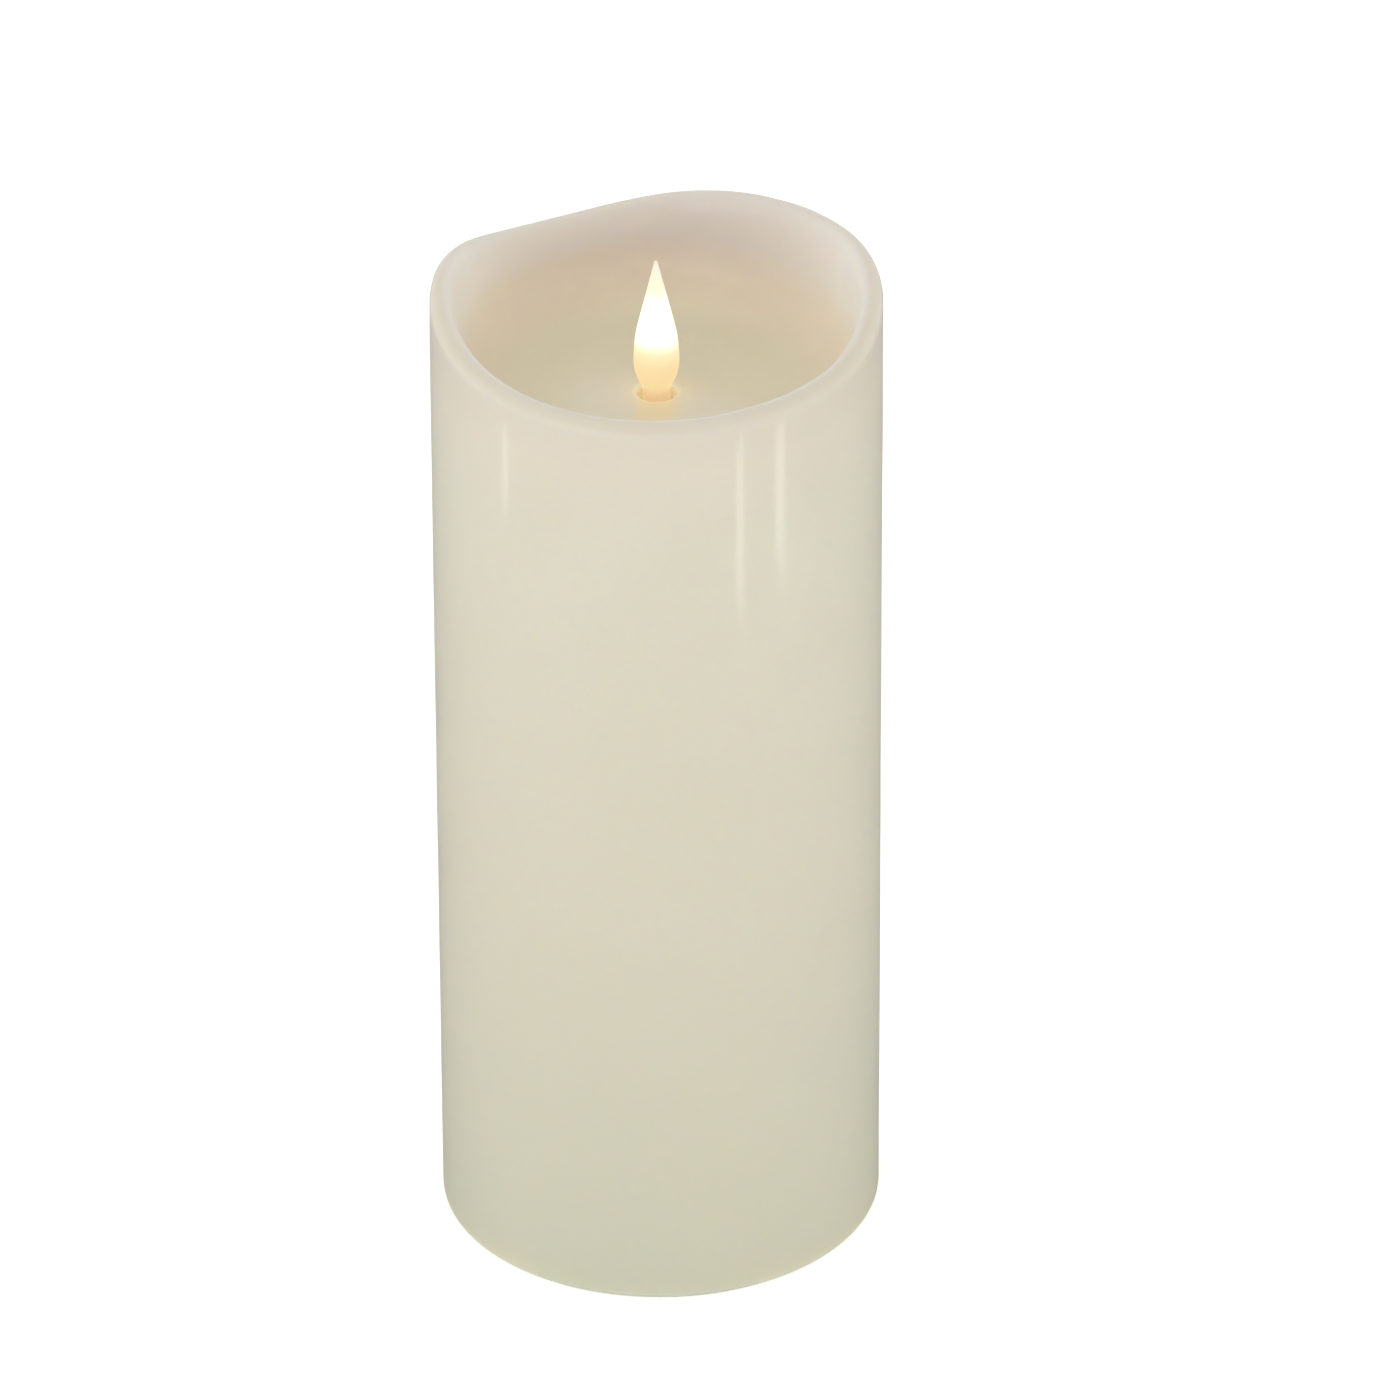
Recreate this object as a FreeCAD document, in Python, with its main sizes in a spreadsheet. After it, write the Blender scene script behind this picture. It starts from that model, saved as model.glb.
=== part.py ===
import FreeCAD, Part
import math
import os
import re
import Sketcher

# A flameless pillar candle: a real wax shell with a melted, wavy rim round a shallow well, and in the well
# a translucent flame that is lit from inside and is pressed down to switch the light on and off.
# The wax stands on a table on its own bottom ring. A plastic core fills the wax from below: it carries the
# flame's guide, spring, switch and circuit board under the well, and two C cells behind a hinged door.
# The origin is the middle of the wax ring's underside, +Z is up and -Y is the low side of the rim.
# Lengths are in millimetres, angles in degrees.

SIZES = {
    # wax shell
    "candle_radius": 38.0,
    "wax_wall": 5.0,
    "wax_floor": 5.0,
    "foot_round": 1.2,
    "rim_height": 175.0,
    "rim_round": 2.2,
    "well_depth": 17.6,
    "well_blend": 8.5,
    "flame_hole": 3.2,
    # the rim's height goes round the candle as five waves: their heights, and where each has a crest
    "rim_wave_one": 2.47,
    "rim_wave_two": 2.11,
    "rim_wave_three": 1.02,
    "rim_wave_four": 0.42,
    "rim_wave_five": 0.32,
    "rim_turn_one": 169.1,
    "rim_turn_two": -76.2,
    "rim_turn_three": 17.3,
    "rim_turn_four": -6.9,
    "rim_turn_five": 34.5,
    # flame
    "flame_height": 25.0,
    "flame_radius": 3.85,
    "flame_belly": 6.2,
    "flank_radius": 30.0,
    "flame_tip_round": 0.3,
    "bulb_radius": 8.6,
    "neck_radius": 2.3,
    "neck_curve": 4.1,
    "stem_bore": 1.75,
    "stem_length": 13.0,
    "lamp_height": 4.4,
    "lamp_radius": 1.5,
    "lamp_length": 5.2,
    "press_travel": 1.5,
    # flame guide, plunger and return spring
    "running_gap": 0.05,
    "plunger_radius": 4.0,
    "plunger_setback": 0.5,
    "bush_wall": 1.45,
    "bush_length": 11.4,
    "bush_flange": 3.5,
    "flange_thickness": 1.6,
    "foot_length": 4.5,
    "foot_radius": 3.0,
    "plunger_sole": 1.2,
    "lead_slot": 1.6,
    "spring_length": 14.5,
    "spring_wire": 0.5,
    "spring_turns": 5.0,
    "spring_gap": 0.5,
    # push switch and circuit board
    "push_switch_side": 7.0,
    "push_switch_height": 7.0,
    "push_button_radius": 1.5,
    "push_button_root": 4.5,
    "board_radius": 25.0,
    "board_thickness": 1.6,
    "post_circle": 20.0,
    "post_radius": 3.0,
    "connector_length": 12.0,
    "connector_width": 5.8,
    "connector_height": 6.5,
    "connector_offset": 16.0,
    # plastic core
    "core_gap": 0.4,
    "core_wall": 1.8,
    "deck_thickness": 2.4,
    "boss_radius": 3.2,
    "boss_height": 14.0,
    "glue_height": 10.0,
    # screws
    "screw_radius": 1.1,
    "screw_length": 8.0,
    "screw_head": 2.4,
    "screw_head_height": 1.5,
    "screw_clearance": 0.25,
    # cells, battery tray and door
    "cell_radius": 13.1,
    "cell_length": 50.0,
    "cell_nub_radius": 3.2,
    "cell_nub_height": 1.5,
    "cell_gap": 1.0,
    "cell_clearance": 0.3,
    "cell_offset": 4.0,
    "tray_lift": 1.2,
    "tray_thickness": 2.6,
    "well_wall": 1.2,
    "lid_ledge": 1.8,
    "lid_gap": 0.3,
    "lid_thickness": 1.8,
    "hinge_reach": 2.2,
    "hinge_clearance": 0.15,
    "hinge_relief": 7.5,
    "knuckle_radius": 1.3,
    "knuckle_length": 10.0,
    "hinge_pin_radius": 0.6,
    "hinge_pin_length": 18.0,
    "thumb_notch": 5.0,
    "contact_thickness": 0.4,
    "contact_width": 8.0,
    "contact_spring_radius": 4.5,
    "contact_wire": 0.8,
    "door_spring_length": 5.0,
    "tray_spring_length": 3.6,
    "door_spring_turns": 3.5,
    "tray_spring_turns": 2.5,
    "dimple_radius": 2.5,
    "tab_height": 5.5,
    "tab_width": 4.0,
    # slide switch
    "slide_offset": 22.0,
    "slide_length": 8.6,
    "slide_width": 4.4,
    "slide_height": 4.6,
    "slide_ear_span": 15.0,
    "slide_ear_end": 2.2,
    "slide_frame": 0.5,
    "slide_travel": 2.0,
    "slide_knob": 2.0,
    "slide_pocket": 1.4,
    "slide_screw_radius": 0.8,
    "slide_screw_head": 1.6,
    # wires
    "wire_radius": 0.6,
    "lead_radius": 0.3,
}

LEVELS = {
    "well_floor": "rim_height - well_depth",
    "cavity_radius": "candle_radius - wax_wall",
    "deck_top": "well_floor - wax_floor",
    "deck_bottom": "deck_top - deck_thickness",
    "core_radius": "cavity_radius - core_gap",
    "core_inside": "core_radius - core_wall",
    "tray_top": "tray_lift + tray_thickness",
    "boss_circle": "core_inside - boss_radius - 0.1",
    "stem_bottom": "well_floor - stem_length",
    "lamp_bottom": "well_floor + lamp_height",
    "bush_radius": "plunger_radius + running_gap + bush_wall",
    "bush_bottom": "deck_top - bush_length",
    "plunger_top": "deck_top - plunger_setback",
    "flange_bottom": "bush_bottom - flange_thickness",
    "foot_bottom": "flange_bottom - foot_length",
    "board_top": "flange_bottom - spring_length",
    "board_bottom": "board_top - board_thickness",
    "push_switch_top": "board_top + push_switch_height",
    "push_button_bottom": "push_switch_top - push_button_root",
    "spring_radius": "push_switch_side * 0.7072 + spring_gap + spring_wire / 2",
    "plunger_flange": "spring_radius + spring_wire / 2 + 0.3",
    "lead_offset": "push_switch_side / 2 + lead_radius + 0.5",
    "connector_bottom": "board_bottom - connector_height",
    "cell_span": "cell_radius + cell_gap / 2",
    "well_radius": "cell_radius + cell_clearance",
    "well_outside": "well_radius + well_wall",
    "lid_recess": "well_radius + lid_ledge",
    "lid_radius": "lid_recess - lid_gap",
    "lid_bottom": "tray_lift + 0.1",
    "lid_top": "lid_bottom + lid_thickness",
    "hinge_offset": "cell_offset + lid_radius + hinge_reach",
    "hinge_height": "tray_lift + tray_thickness / 2",
    "lip_reach": "sqrt((hinge_reach - hinge_clearance) ^ 2 - (hinge_height - tray_lift) ^ 2)",
    "left_cell_bottom": "lid_top + contact_thickness + door_spring_length",
    "left_cell_top": "left_cell_bottom + cell_length",
    "right_cell_top": "contact_bottom - tray_spring_length",
    "right_cell_bottom": "right_cell_top - cell_length",
    "contact_bottom": "left_cell_top + 1.6",
    "tray_ceiling": "contact_bottom + contact_thickness",
    "tray_roof": "tray_ceiling + well_wall",
    "tab_offset": "cell_offset - 9",
    "tab_top": "tray_ceiling + tab_height",
    "slide_top": "tray_top + slide_height",
    "slide_slot": "slide_knob / 2 + slide_travel + 0.3",
}

WAVES = ("one", "two", "three", "four", "five")
BOSS_ANGLES = (90, 215, 325)
POST_ANGLES = (90, 210, 330)

doc = FreeCAD.newDocument("Candle")
subparts = []


def bound(formula):
    """Write each size in a formula as the sheet cell or the level that it names."""
    def full_name(word):
        if word.group() in SIZES:
            return "Sizes." + word.group()
        if word.group() in LEVELS:
            return "Levels." + word.group()
        return word.group()
    return re.sub(r"[a-z][a-z_]*", full_name, formula)


def make_sheet():
    """Put the driving sizes in a spreadsheet, one to a row."""
    sheet = doc.addObject("Spreadsheet::Sheet", "Sizes")
    for row, (name, value) in enumerate(SIZES.items(), start=1):
        sheet.set(f"A{row}", name)
        sheet.set(f"B{row}", str(value))
        sheet.setAlias(f"B{row}", name)
    doc.recompute()
    return sheet


def make_levels():
    """Work out the heights and radii that follow from the driving sizes."""
    levels = doc.addObject("App::VarSet", "Levels")
    for name in LEVELS:
        levels.addProperty("App::PropertyFloat", name, "Levels")
    for name, formula in LEVELS.items():
        levels.setExpression(name, bound(formula))
    doc.recompute()
    return levels


def size(name):
    """Read a driving size or a level as a number."""
    return float(sheet.get(name)) if name in SIZES else float(getattr(levels, name))


def node(label, shape_object):
    """Name an object as a finished sub-part."""
    shape_object.Label = label
    subparts.append(shape_object)
    return shape_object


def place(thing, x="0", y="0", z="0"):
    """Bind an object's place to formulas."""
    for axis, formula in zip("xyz", (x, y, z)):
        thing.setExpression("Placement.Base." + axis, bound(formula))


def cylinder(name, radius, height, x="0", y="0", z="0"):
    """An upright cylinder that stands on the height z."""
    thing = doc.addObject("Part::Cylinder", name)
    thing.setExpression("Radius", bound(radius))
    thing.setExpression("Height", bound(height))
    place(thing, x, y, z)
    return thing


def crossways(name, radius, length, y, z):
    """A cylinder along X, centred on X = 0."""
    thing = doc.addObject("Part::Cylinder", name)
    thing.setExpression("Radius", bound(radius))
    thing.setExpression("Height", bound(length))
    thing.Placement.Rotation = FreeCAD.Rotation(FreeCAD.Vector(0, 1, 0), 90)
    place(thing, f"-({length}) / 2", y, z)
    return thing


def block(name, x, y, z):
    """A box between two formulas in each direction."""
    thing = doc.addObject("Part::Box", name)
    for side, (low, high) in zip(("Length", "Width", "Height"), (x, y, z)):
        thing.setExpression(side, bound(f"({high}) - ({low})"))
    place(thing, x[0], y[0], z[0])
    return thing


def centred(name, width, depth, z, x="0", y="0"):
    """A box centred on a point in plan, between two heights."""
    return block(
        name,
        (f"{x} - ({width}) / 2", f"{x} + ({width}) / 2"),
        (f"{y} - ({depth}) / 2", f"{y} + ({depth}) / 2"),
        z,
    )


def fuse(name, *things):
    """Join solids into one."""
    whole = doc.addObject("Part::MultiFuse", name)
    whole.Shapes = list(things)
    whole.Refine = True
    return whole


def cut(name, base, *tools):
    """Take tools away from a solid."""
    whole = doc.addObject("Part::Cut", name)
    whole.Base = base
    whole.Tool = tools[0] if len(tools) == 1 else fuse(name + "_tools", *tools)
    whole.Refine = True
    return whole


def group(name, *things):
    """Keep separate solids together as one sub-part."""
    whole = doc.addObject("Part::Compound", name)
    whole.Links = list(things)
    return whole


def around(radius, angle):
    """The x and y formulas of a point on a circle about the axis."""
    return f"{radius} * cos({angle})", f"{radius} * sin({angle})"


def origin_plane(body, role):
    """Find one of a body's own origin planes."""
    return next(plane for plane in body.Origin.OriginFeatures if plane.Role == role)


def turned(name, outline):
    """A body turned about the vertical axis from a closed outline of (radius, height) formulas."""
    body = doc.addObject("PartDesign::Body", name)
    sketch = body.newObject("Sketcher::SketchObject", name + "_outline")
    sketch.AttachmentSupport = [(origin_plane(body, "XZ_Plane"), "")]
    sketch.MapMode = "FlatFace"
    count = len(outline)
    ring = [FreeCAD.Vector(50 + 40 * math.cos(step), 90 + 40 * math.sin(step), 0)
            for step in (2 * math.pi * corner / count for corner in range(count))]
    for corner in range(count):
        sketch.addGeometry(Part.LineSegment(ring[corner], ring[(corner + 1) % count]))
    for corner in range(count):
        sketch.addConstraint(Sketcher.Constraint("Coincident", corner, 2, (corner + 1) % count, 1))
    for corner, (radius, height) in enumerate(outline):
        for kind, axis, formula in (("DistanceX", -2, radius), ("DistanceY", -1, height)):
            if formula == "0":
                sketch.addConstraint(Sketcher.Constraint("PointOnObject", corner, 1, axis))
                continue
            index = sketch.addConstraint(Sketcher.Constraint(kind, -1, 1, corner, 1, 10.0))
            sketch.setExpression(f"Constraints[{index}]", bound(formula))
    turn = body.newObject("PartDesign::Revolution", name + "_turn")
    turn.Profile = sketch
    turn.ReferenceAxis = (sketch, ["V_Axis"])
    turn.Angle = 360
    body.Tip = turn
    return body


def rounded(body, name, radius, wanted):
    """Fillet the edges of a body's tip that a test picks."""
    doc.recompute()
    tip = body.Tip
    edges = [f"Edge{index}" for index, edge in enumerate(tip.Shape.Edges, start=1) if wanted(edge)]
    fillet = body.newObject("PartDesign::Fillet", name)
    fillet.Base = (tip, edges)
    fillet.setExpression("Radius", bound(radius))
    body.Tip = fillet
    return body


def ring_edge(radius, height):
    """Test whether an edge is the circle of this radius at this height."""
    def test(edge):
        curve = edge.Curve
        if not isinstance(curve, Part.Circle):
            return False
        return abs(curve.Radius - radius) < 0.01 and abs(curve.Center.z - height) < 0.01
    return test


def made(name, shape, x="0", y="0", z="0"):
    """A shape that is made directly, then set in its place."""
    thing = doc.addObject("Part::Feature", name)
    thing.Shape = shape
    place(thing, x, y, z)
    return thing


# ---- wax shell ----


def rim_level(turn):
    """The rim's height at an angle from the front, counted towards +X."""
    level = size("rim_height")
    for number, word in enumerate(WAVES, start=1):
        crest = math.radians(size("rim_turn_" + word))
        level += size("rim_wave_" + word) * math.cos(number * (turn - crest))
    return level


def rim_loop(radius):
    """The rim's wavy line at a radius, as one smooth closed curve."""
    steps = 60
    points = []
    for step in range(steps):
        turn = 2 * math.pi * step / steps
        points.append(FreeCAD.Vector(radius * math.sin(turn), -radius * math.cos(turn), rim_level(turn)))
    curve = Part.BSplineCurve()
    curve.interpolate(points, PeriodicFlag=True)
    return curve.toShape()


def make_wax_shell():
    """The wax: a tube with a floor near its top, a wavy melted rim and a hole for the flame."""
    blank = turned("wax_blank", [
        ("cavity_radius", "0"),
        ("candle_radius", "0"),
        ("candle_radius", "rim_height + 8"),
        ("cavity_radius", "rim_height + 8"),
        ("cavity_radius", "well_floor"),
        ("flame_hole", "well_floor"),
        ("flame_hole", "deck_top"),
        ("cavity_radius", "deck_top"),
    ])
    rounded(blank, "well_corner", "well_blend", ring_edge(size("cavity_radius"), size("well_floor")))
    rounded(blank, "foot_corner", "foot_round", ring_edge(size("candle_radius"), 0))
    overlap = 2.5
    inner = rim_loop(size("cavity_radius") - overlap)
    outer = rim_loop(size("candle_radius") + overlap)
    above = Part.makeRuledSurface(inner, outer).extrude(FreeCAD.Vector(0, 0, 40))
    melted = made("rim_waste", above)
    open_top = cut("wax_cut", blank, melted)
    doc.recompute()
    low = size("rim_height") - 8
    rim_edges = [index for index, edge in enumerate(open_top.Shape.Edges, start=1)
                 if edge.BoundBox.ZMin > low and edge.BoundBox.ZLength > 1]
    fillet = doc.addObject("Part::Fillet", "wax_shell")
    fillet.Base = open_top
    fillet.Edges = [(index, size("rim_round"), size("rim_round")) for index in rim_edges]
    node("wax_shell", fillet)


# ---- flame, its plunger, guide and spring ----


def flame_outline():
    """Half of the flame's section: tip, straight flank, belly, bulb and neck, down to the stem's end."""
    floor = size("well_floor")
    belly = floor + size("flame_belly")
    top = floor + size("flame_height")
    widest = size("flame_radius")
    neck = size("neck_radius")
    flank = size("flank_radius")
    bulb = size("bulb_radius")
    curve = size("neck_curve")
    tip = size("flame_tip_round")
    rise = top - belly
    run = widest - flank - tip
    reach = math.hypot(rise, run)
    slope = math.asin(flank / reach) - math.atan2(-run, rise)
    join = (widest - flank * (1 - math.cos(slope)), belly + flank * math.sin(slope))
    bend = math.acos((bulb + curve - (widest - neck)) / (bulb + curve))
    bulb_end = (widest - bulb * (1 - math.cos(bend)), belly - bulb * math.sin(bend))
    neck_end = (neck, bulb_end[1] - curve * math.sin(bend))

    def point(place_at):
        return FreeCAD.Vector(place_at[0], 0, place_at[1])

    def arc(centre, radius, start, middle, end):
        spot = [(centre[0] + radius * math.cos(turn), centre[1] + radius * math.sin(turn))
                for turn in (start, middle, end)]
        return Part.Arc(point(spot[0]), point(spot[1]), point(spot[2])).toShape()

    return [
        Part.LineSegment(point((0, top)), point((tip, top))).toShape(),
        Part.LineSegment(point((tip, top)), point(join)).toShape(),
        arc((widest - flank, belly), flank, slope, slope / 2, 0),
        arc((widest - bulb, belly), bulb, 0, -bend / 2, -bend),
        arc((neck + curve, neck_end[1]), curve, math.pi - bend, math.pi - bend / 2, math.pi),
        Part.LineSegment(point(neck_end), point((neck, size("stem_bottom")))).toShape(),
        Part.LineSegment(point((neck, size("stem_bottom"))), point((0, size("stem_bottom")))).toShape(),
        Part.LineSegment(point((0, size("stem_bottom"))), point((0, top))).toShape(),
    ]


def make_flame():
    """The translucent flame and stem in one moulding, bored from below for the lamp and its leads."""
    section = Part.Face(Part.Wire(flame_outline()))
    axis = FreeCAD.Vector(0, 0, 1)
    whole = made("flame_blank", section.revolve(FreeCAD.Vector(), axis, 360))
    bore_top = "lamp_bottom + lamp_length + 0.6"
    bore = cylinder("flame_bore", "stem_bore", f"{bore_top} - stem_bottom", z="stem_bottom")
    node("flame_tip", cut("flame_tip", whole, bore))


def make_lamp():
    """A round-nosed light-emitting diode inside the flame's belly, on a small flange."""
    lamp = turned("led_lamp", [
        ("0", "lamp_bottom"),
        ("lamp_radius + 0.15", "lamp_bottom"),
        ("lamp_radius + 0.15", "lamp_bottom + 0.8"),
        ("lamp_radius", "lamp_bottom + 0.8"),
        ("lamp_radius", "lamp_bottom + lamp_length"),
        ("0", "lamp_bottom + lamp_length"),
    ])
    nose = ring_edge(size("lamp_radius"), size("lamp_bottom") + size("lamp_length"))
    node("led_lamp", rounded(lamp, "lamp_nose", "lamp_radius * 0.9", nose))


def make_plunger():
    """The plunger: a socket for the flame's stem, a stop flange, and a slotted foot on the switch."""
    blank = turned("plunger_blank", [
        ("0", "foot_bottom"),
        ("foot_radius", "foot_bottom"),
        ("foot_radius", "flange_bottom"),
        ("plunger_flange", "flange_bottom"),
        ("plunger_flange", "bush_bottom"),
        ("plunger_radius", "bush_bottom"),
        ("plunger_radius", "plunger_top"),
        ("neck_radius", "plunger_top"),
        ("neck_radius", "stem_bottom"),
        ("stem_bore", "stem_bottom"),
        ("stem_bore", "foot_bottom + plunger_sole"),
        ("0", "foot_bottom + plunger_sole"),
    ])
    slot = centred("lead_way", "lead_slot", "2 * foot_radius + 2",
                   ("foot_bottom + plunger_sole", "flange_bottom + 0.6"))
    node("flame_plunger", cut("flame_plunger", blank, slot))


def make_bush():
    """The guide bush that the plunger slides in, pressed into the deck from below."""
    bore = "plunger_radius + running_gap"
    node("guide_bush", turned("guide_bush", [
        (bore, "bush_bottom"),
        ("bush_radius", "bush_bottom"),
        ("bush_radius", "deck_bottom - 1.6"),
        ("bush_radius + bush_flange", "deck_bottom - 1.6"),
        ("bush_radius + bush_flange", "deck_bottom"),
        ("bush_radius", "deck_bottom"),
        ("bush_radius", "deck_top"),
        (bore, "deck_top"),
    ]))


def coil(name, mean_radius, wire, length, turns, x="0", y="0", z="0"):
    """A coil spring of round wire, which stands on the height z."""
    radius = size(mean_radius)
    rise = size(length) - size(wire)
    steps = round(turns * 24)
    points = []
    for step in range(steps + 1):
        angle = 2 * math.pi * turns * step / steps
        points.append(FreeCAD.Vector(radius * math.cos(angle), radius * math.sin(angle), rise * step / steps))
    line = Part.BSplineCurve()
    line.interpolate(points)
    heading = FreeCAD.Vector(0, 2 * math.pi * radius, rise / turns)
    section = Part.Wire(Part.makeCircle(size(wire) / 2, points[0], heading))
    shape = Part.Wire(line.toShape()).makePipeShell([section], True, True)
    node(name, made(name, shape, x, y, f"{z} + {wire} / 2"))


def make_return_spring():
    """The coil spring that lifts the flame again after a press."""
    coil("return_spring", "spring_radius", "spring_wire", "spring_length", size("spring_turns"),
         z="board_top")


# ---- core: housing, board, push switch ----


def make_housing():
    """The plastic core: a can that is open below, with screw bosses at its foot and posts under its deck."""
    can = turned("housing_can", [
        ("core_inside", "tray_top"),
        ("core_radius", "tray_top"),
        ("core_radius", "deck_top"),
        ("bush_radius", "deck_top"),
        ("bush_radius", "deck_bottom"),
        ("core_inside", "deck_bottom"),
    ])
    solids = [can]
    bores = []
    for number, angle in enumerate(BOSS_ANGLES, start=1):
        x, y = around("boss_circle", angle)
        boss = cylinder(f"boss_{number}", "boss_radius", "boss_height", x, y, "tray_top")
        solids.append(boss)
        solids.append(boss_web(number, angle))
        bores.append(cylinder(f"boss_bore_{number}", "screw_radius", "screw_length + 1", x, y, "tray_top"))
    for number, angle in enumerate(POST_ANGLES, start=1):
        x, y = around("post_circle", angle)
        height = "deck_bottom - board_top"
        solids.append(cylinder(f"post_{number}", "post_radius", height, x, y, "board_top"))
        bores.append(cylinder(f"post_bore_{number}", "screw_radius", "screw_length", x, y, "board_top"))
    node("core_housing", cut("core_housing", fuse("housing_solid", *solids), *bores))


def boss_web(number, angle):
    """A rib that ties a foot boss to the can's wall."""
    web = doc.addObject("Part::Box", f"boss_web_{number}")
    web.setExpression("Length", bound("core_inside + core_wall / 2 - boss_circle"))
    web.setExpression("Width", bound("boss_radius"))
    web.setExpression("Height", bound("boss_height"))
    web.Placement.Rotation = FreeCAD.Rotation(FreeCAD.Vector(0, 0, 1), angle)
    x, y = around("boss_circle", angle)
    place(web, f"{x} + boss_radius / 2 * sin({angle})", f"{y} - boss_radius / 2 * cos({angle})", "tray_top")
    return web


def pan_screw(name, x, y, seat, radius="screw_radius", length="screw_length", head="screw_head",
              head_height="screw_head_height", upwards=True):
    """A pan-head screw whose head bears on the height seat."""
    rod_start = seat if upwards else f"{seat} - ({length})"
    cap_start = f"{seat} - ({head_height})" if upwards else seat
    rod = cylinder(name + "_rod", radius, length, x, y, rod_start)
    cap = cylinder(name + "_cap", head, head_height, x, y, cap_start)
    drive_start = cap_start if upwards else f"{seat} + ({head_height}) / 2"
    drive_span = (drive_start, f"{drive_start} + ({head_height}) / 2")
    drives = [centred(f"{name}_drive_{way}", wide, deep, drive_span, x, y)
              for way, wide, deep in (("a", f"{head} * 1.3", f"{head} * 0.25"),
                                      ("b", f"{head} * 0.25", f"{head} * 1.3"))]
    return cut(name, fuse(name + "_blank", rod, cap), *drives)


def make_core_screws():
    """Three screws hold the tray to the core, three more hold the board to its posts."""
    tray = []
    board = []
    for number, angle in enumerate(BOSS_ANGLES, start=1):
        x, y = around("boss_circle", angle)
        tray.append(pan_screw(f"tray_screw_{number}", x, y, "tray_lift + screw_head_height"))
    for number, angle in enumerate(POST_ANGLES, start=1):
        x, y = around("post_circle", angle)
        board.append(pan_screw(f"board_screw_{number}", x, y, "board_bottom", length="screw_length - 0.5"))
    node("tray_screws", group("tray_screws", *tray))
    node("board_screws", group("board_screws", *board))


def make_board():
    """The round circuit board: a padded disc with three screw holes."""
    body = doc.addObject("PartDesign::Body", "control_board")
    disc = body.newObject("Sketcher::SketchObject", "board_disc")
    disc.AttachmentSupport = [(origin_plane(body, "XY_Plane"), "")]
    disc.MapMode = "FlatFace"
    disc.setExpression("AttachmentOffset.Base.z", bound("board_bottom"))
    disc.addGeometry(Part.Circle(FreeCAD.Vector(), FreeCAD.Vector(0, 0, 1), 20))
    disc.addConstraint(Sketcher.Constraint("Coincident", 0, 3, -1, 1))
    disc.addConstraint(Sketcher.Constraint("Radius", 0, 20))
    disc.setExpression("Constraints[1]", bound("board_radius"))
    pad = body.newObject("PartDesign::Pad", "board_pad")
    pad.Profile = disc
    pad.setExpression("Length", bound("board_thickness"))
    hole = body.newObject("Sketcher::SketchObject", "board_hole")
    hole.AttachmentSupport = [(origin_plane(body, "XY_Plane"), "")]
    hole.MapMode = "FlatFace"
    hole.setExpression("AttachmentOffset.Base.z", bound("board_bottom"))
    hole.addGeometry(Part.Circle(FreeCAD.Vector(0, 15, 0), FreeCAD.Vector(0, 0, 1), 1))
    hole.addConstraint(Sketcher.Constraint("PointOnObject", 0, 3, -2))
    hole.addConstraint(Sketcher.Constraint("DistanceY", -1, 1, 0, 3, 15))
    hole.addConstraint(Sketcher.Constraint("Radius", 0, 1))
    hole.setExpression("Constraints[1]", bound("post_circle"))
    hole.setExpression("Constraints[2]", bound("screw_radius + screw_clearance"))
    doc.recompute()
    pocket = body.newObject("PartDesign::Pocket", "board_screw_way")
    pocket.Profile = hole
    pocket.Type = "ThroughAll"
    pocket.Midplane = True
    pattern = body.newObject("PartDesign::PolarPattern", "board_screw_ways")
    pattern.Originals = [pocket]
    pattern.Axis = (hole, ["N_Axis"])
    pattern.Angle = 360
    pattern.Occurrences = len(POST_ANGLES)
    body.Tip = pattern
    node("control_board", body)


def make_push_switch():
    """The push switch under the plunger's foot: a square body and its round button."""
    body = centred("push_switch_block", "push_switch_side", "push_switch_side",
                   ("board_top", "push_switch_top"))
    way_bottom = "push_button_bottom - press_travel - 0.2"
    way = cylinder("push_switch_way", "push_button_radius + running_gap", f"push_switch_top - ({way_bottom})",
                   z=way_bottom)
    node("push_switch_body", cut("push_switch_body", body, way))
    button = cylinder("push_switch_button", "push_button_radius", "foot_bottom - push_button_bottom",
                      z="push_button_bottom")
    node("push_switch_button", button)


def make_electronics():
    """The timer chip, capacitor, resistors and wire connector on the board."""
    chip = centred("timer_chip_block", "5", "4", ("board_top", "board_top + 1.5"), "-12", "4")
    legs = [centred(f"timer_chip_leg_{number}", "0.4", "6", ("board_top", "board_top + 0.3"),
                    f"-12 + {offset}", "4")
            for number, offset in enumerate((-1.9, -0.63, 0.63, 1.9), start=1)]
    node("timer_chip", fuse("timer_chip", chip, *legs))
    can = cylinder("capacitor_can", "2.5", "6.5", "12", "4", "board_top")
    node("capacitor", can)
    resistors = []
    for number, offset in enumerate((-4, 0, 4), start=1):
        resistors.append(centred(f"resistor_{number}", "2", "1.25", ("board_top", "board_top + 0.55"),
                                 str(offset), "-12"))
    node("resistors", group("resistors", *resistors))
    connector = centred("wire_connector", "connector_length", "connector_width",
                        ("connector_bottom", "board_bottom"), "0", "-connector_offset")
    node("wire_connector", connector)


def make_glue_ring():
    """The ring of hot glue that holds the core in the wax."""
    node("glue_ring", turned("glue_ring", [
        ("core_radius", "tray_top + 4"),
        ("cavity_radius", "tray_top + 4"),
        ("cavity_radius", "tray_top + 4 + glue_height"),
        ("core_radius", "tray_top + 4 + glue_height"),
    ]))


# ---- battery tray, door, cells and contacts ----


def oval(name, radius, z, span="cell_span"):
    """An upright block with round ends, centred on the pair of cells."""
    height = f"({z[1]}) - ({z[0]})"
    ends = [cylinder(f"{name}_{side}", radius, height, x, "cell_offset", z[0])
            for side, x in (("left", f"-{span}"), ("right", span))]
    middle = centred(name + "_middle", f"2 * {span}", f"2 * ({radius})", z, "0", "cell_offset")
    return fuse(name, middle, *ends)


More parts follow.
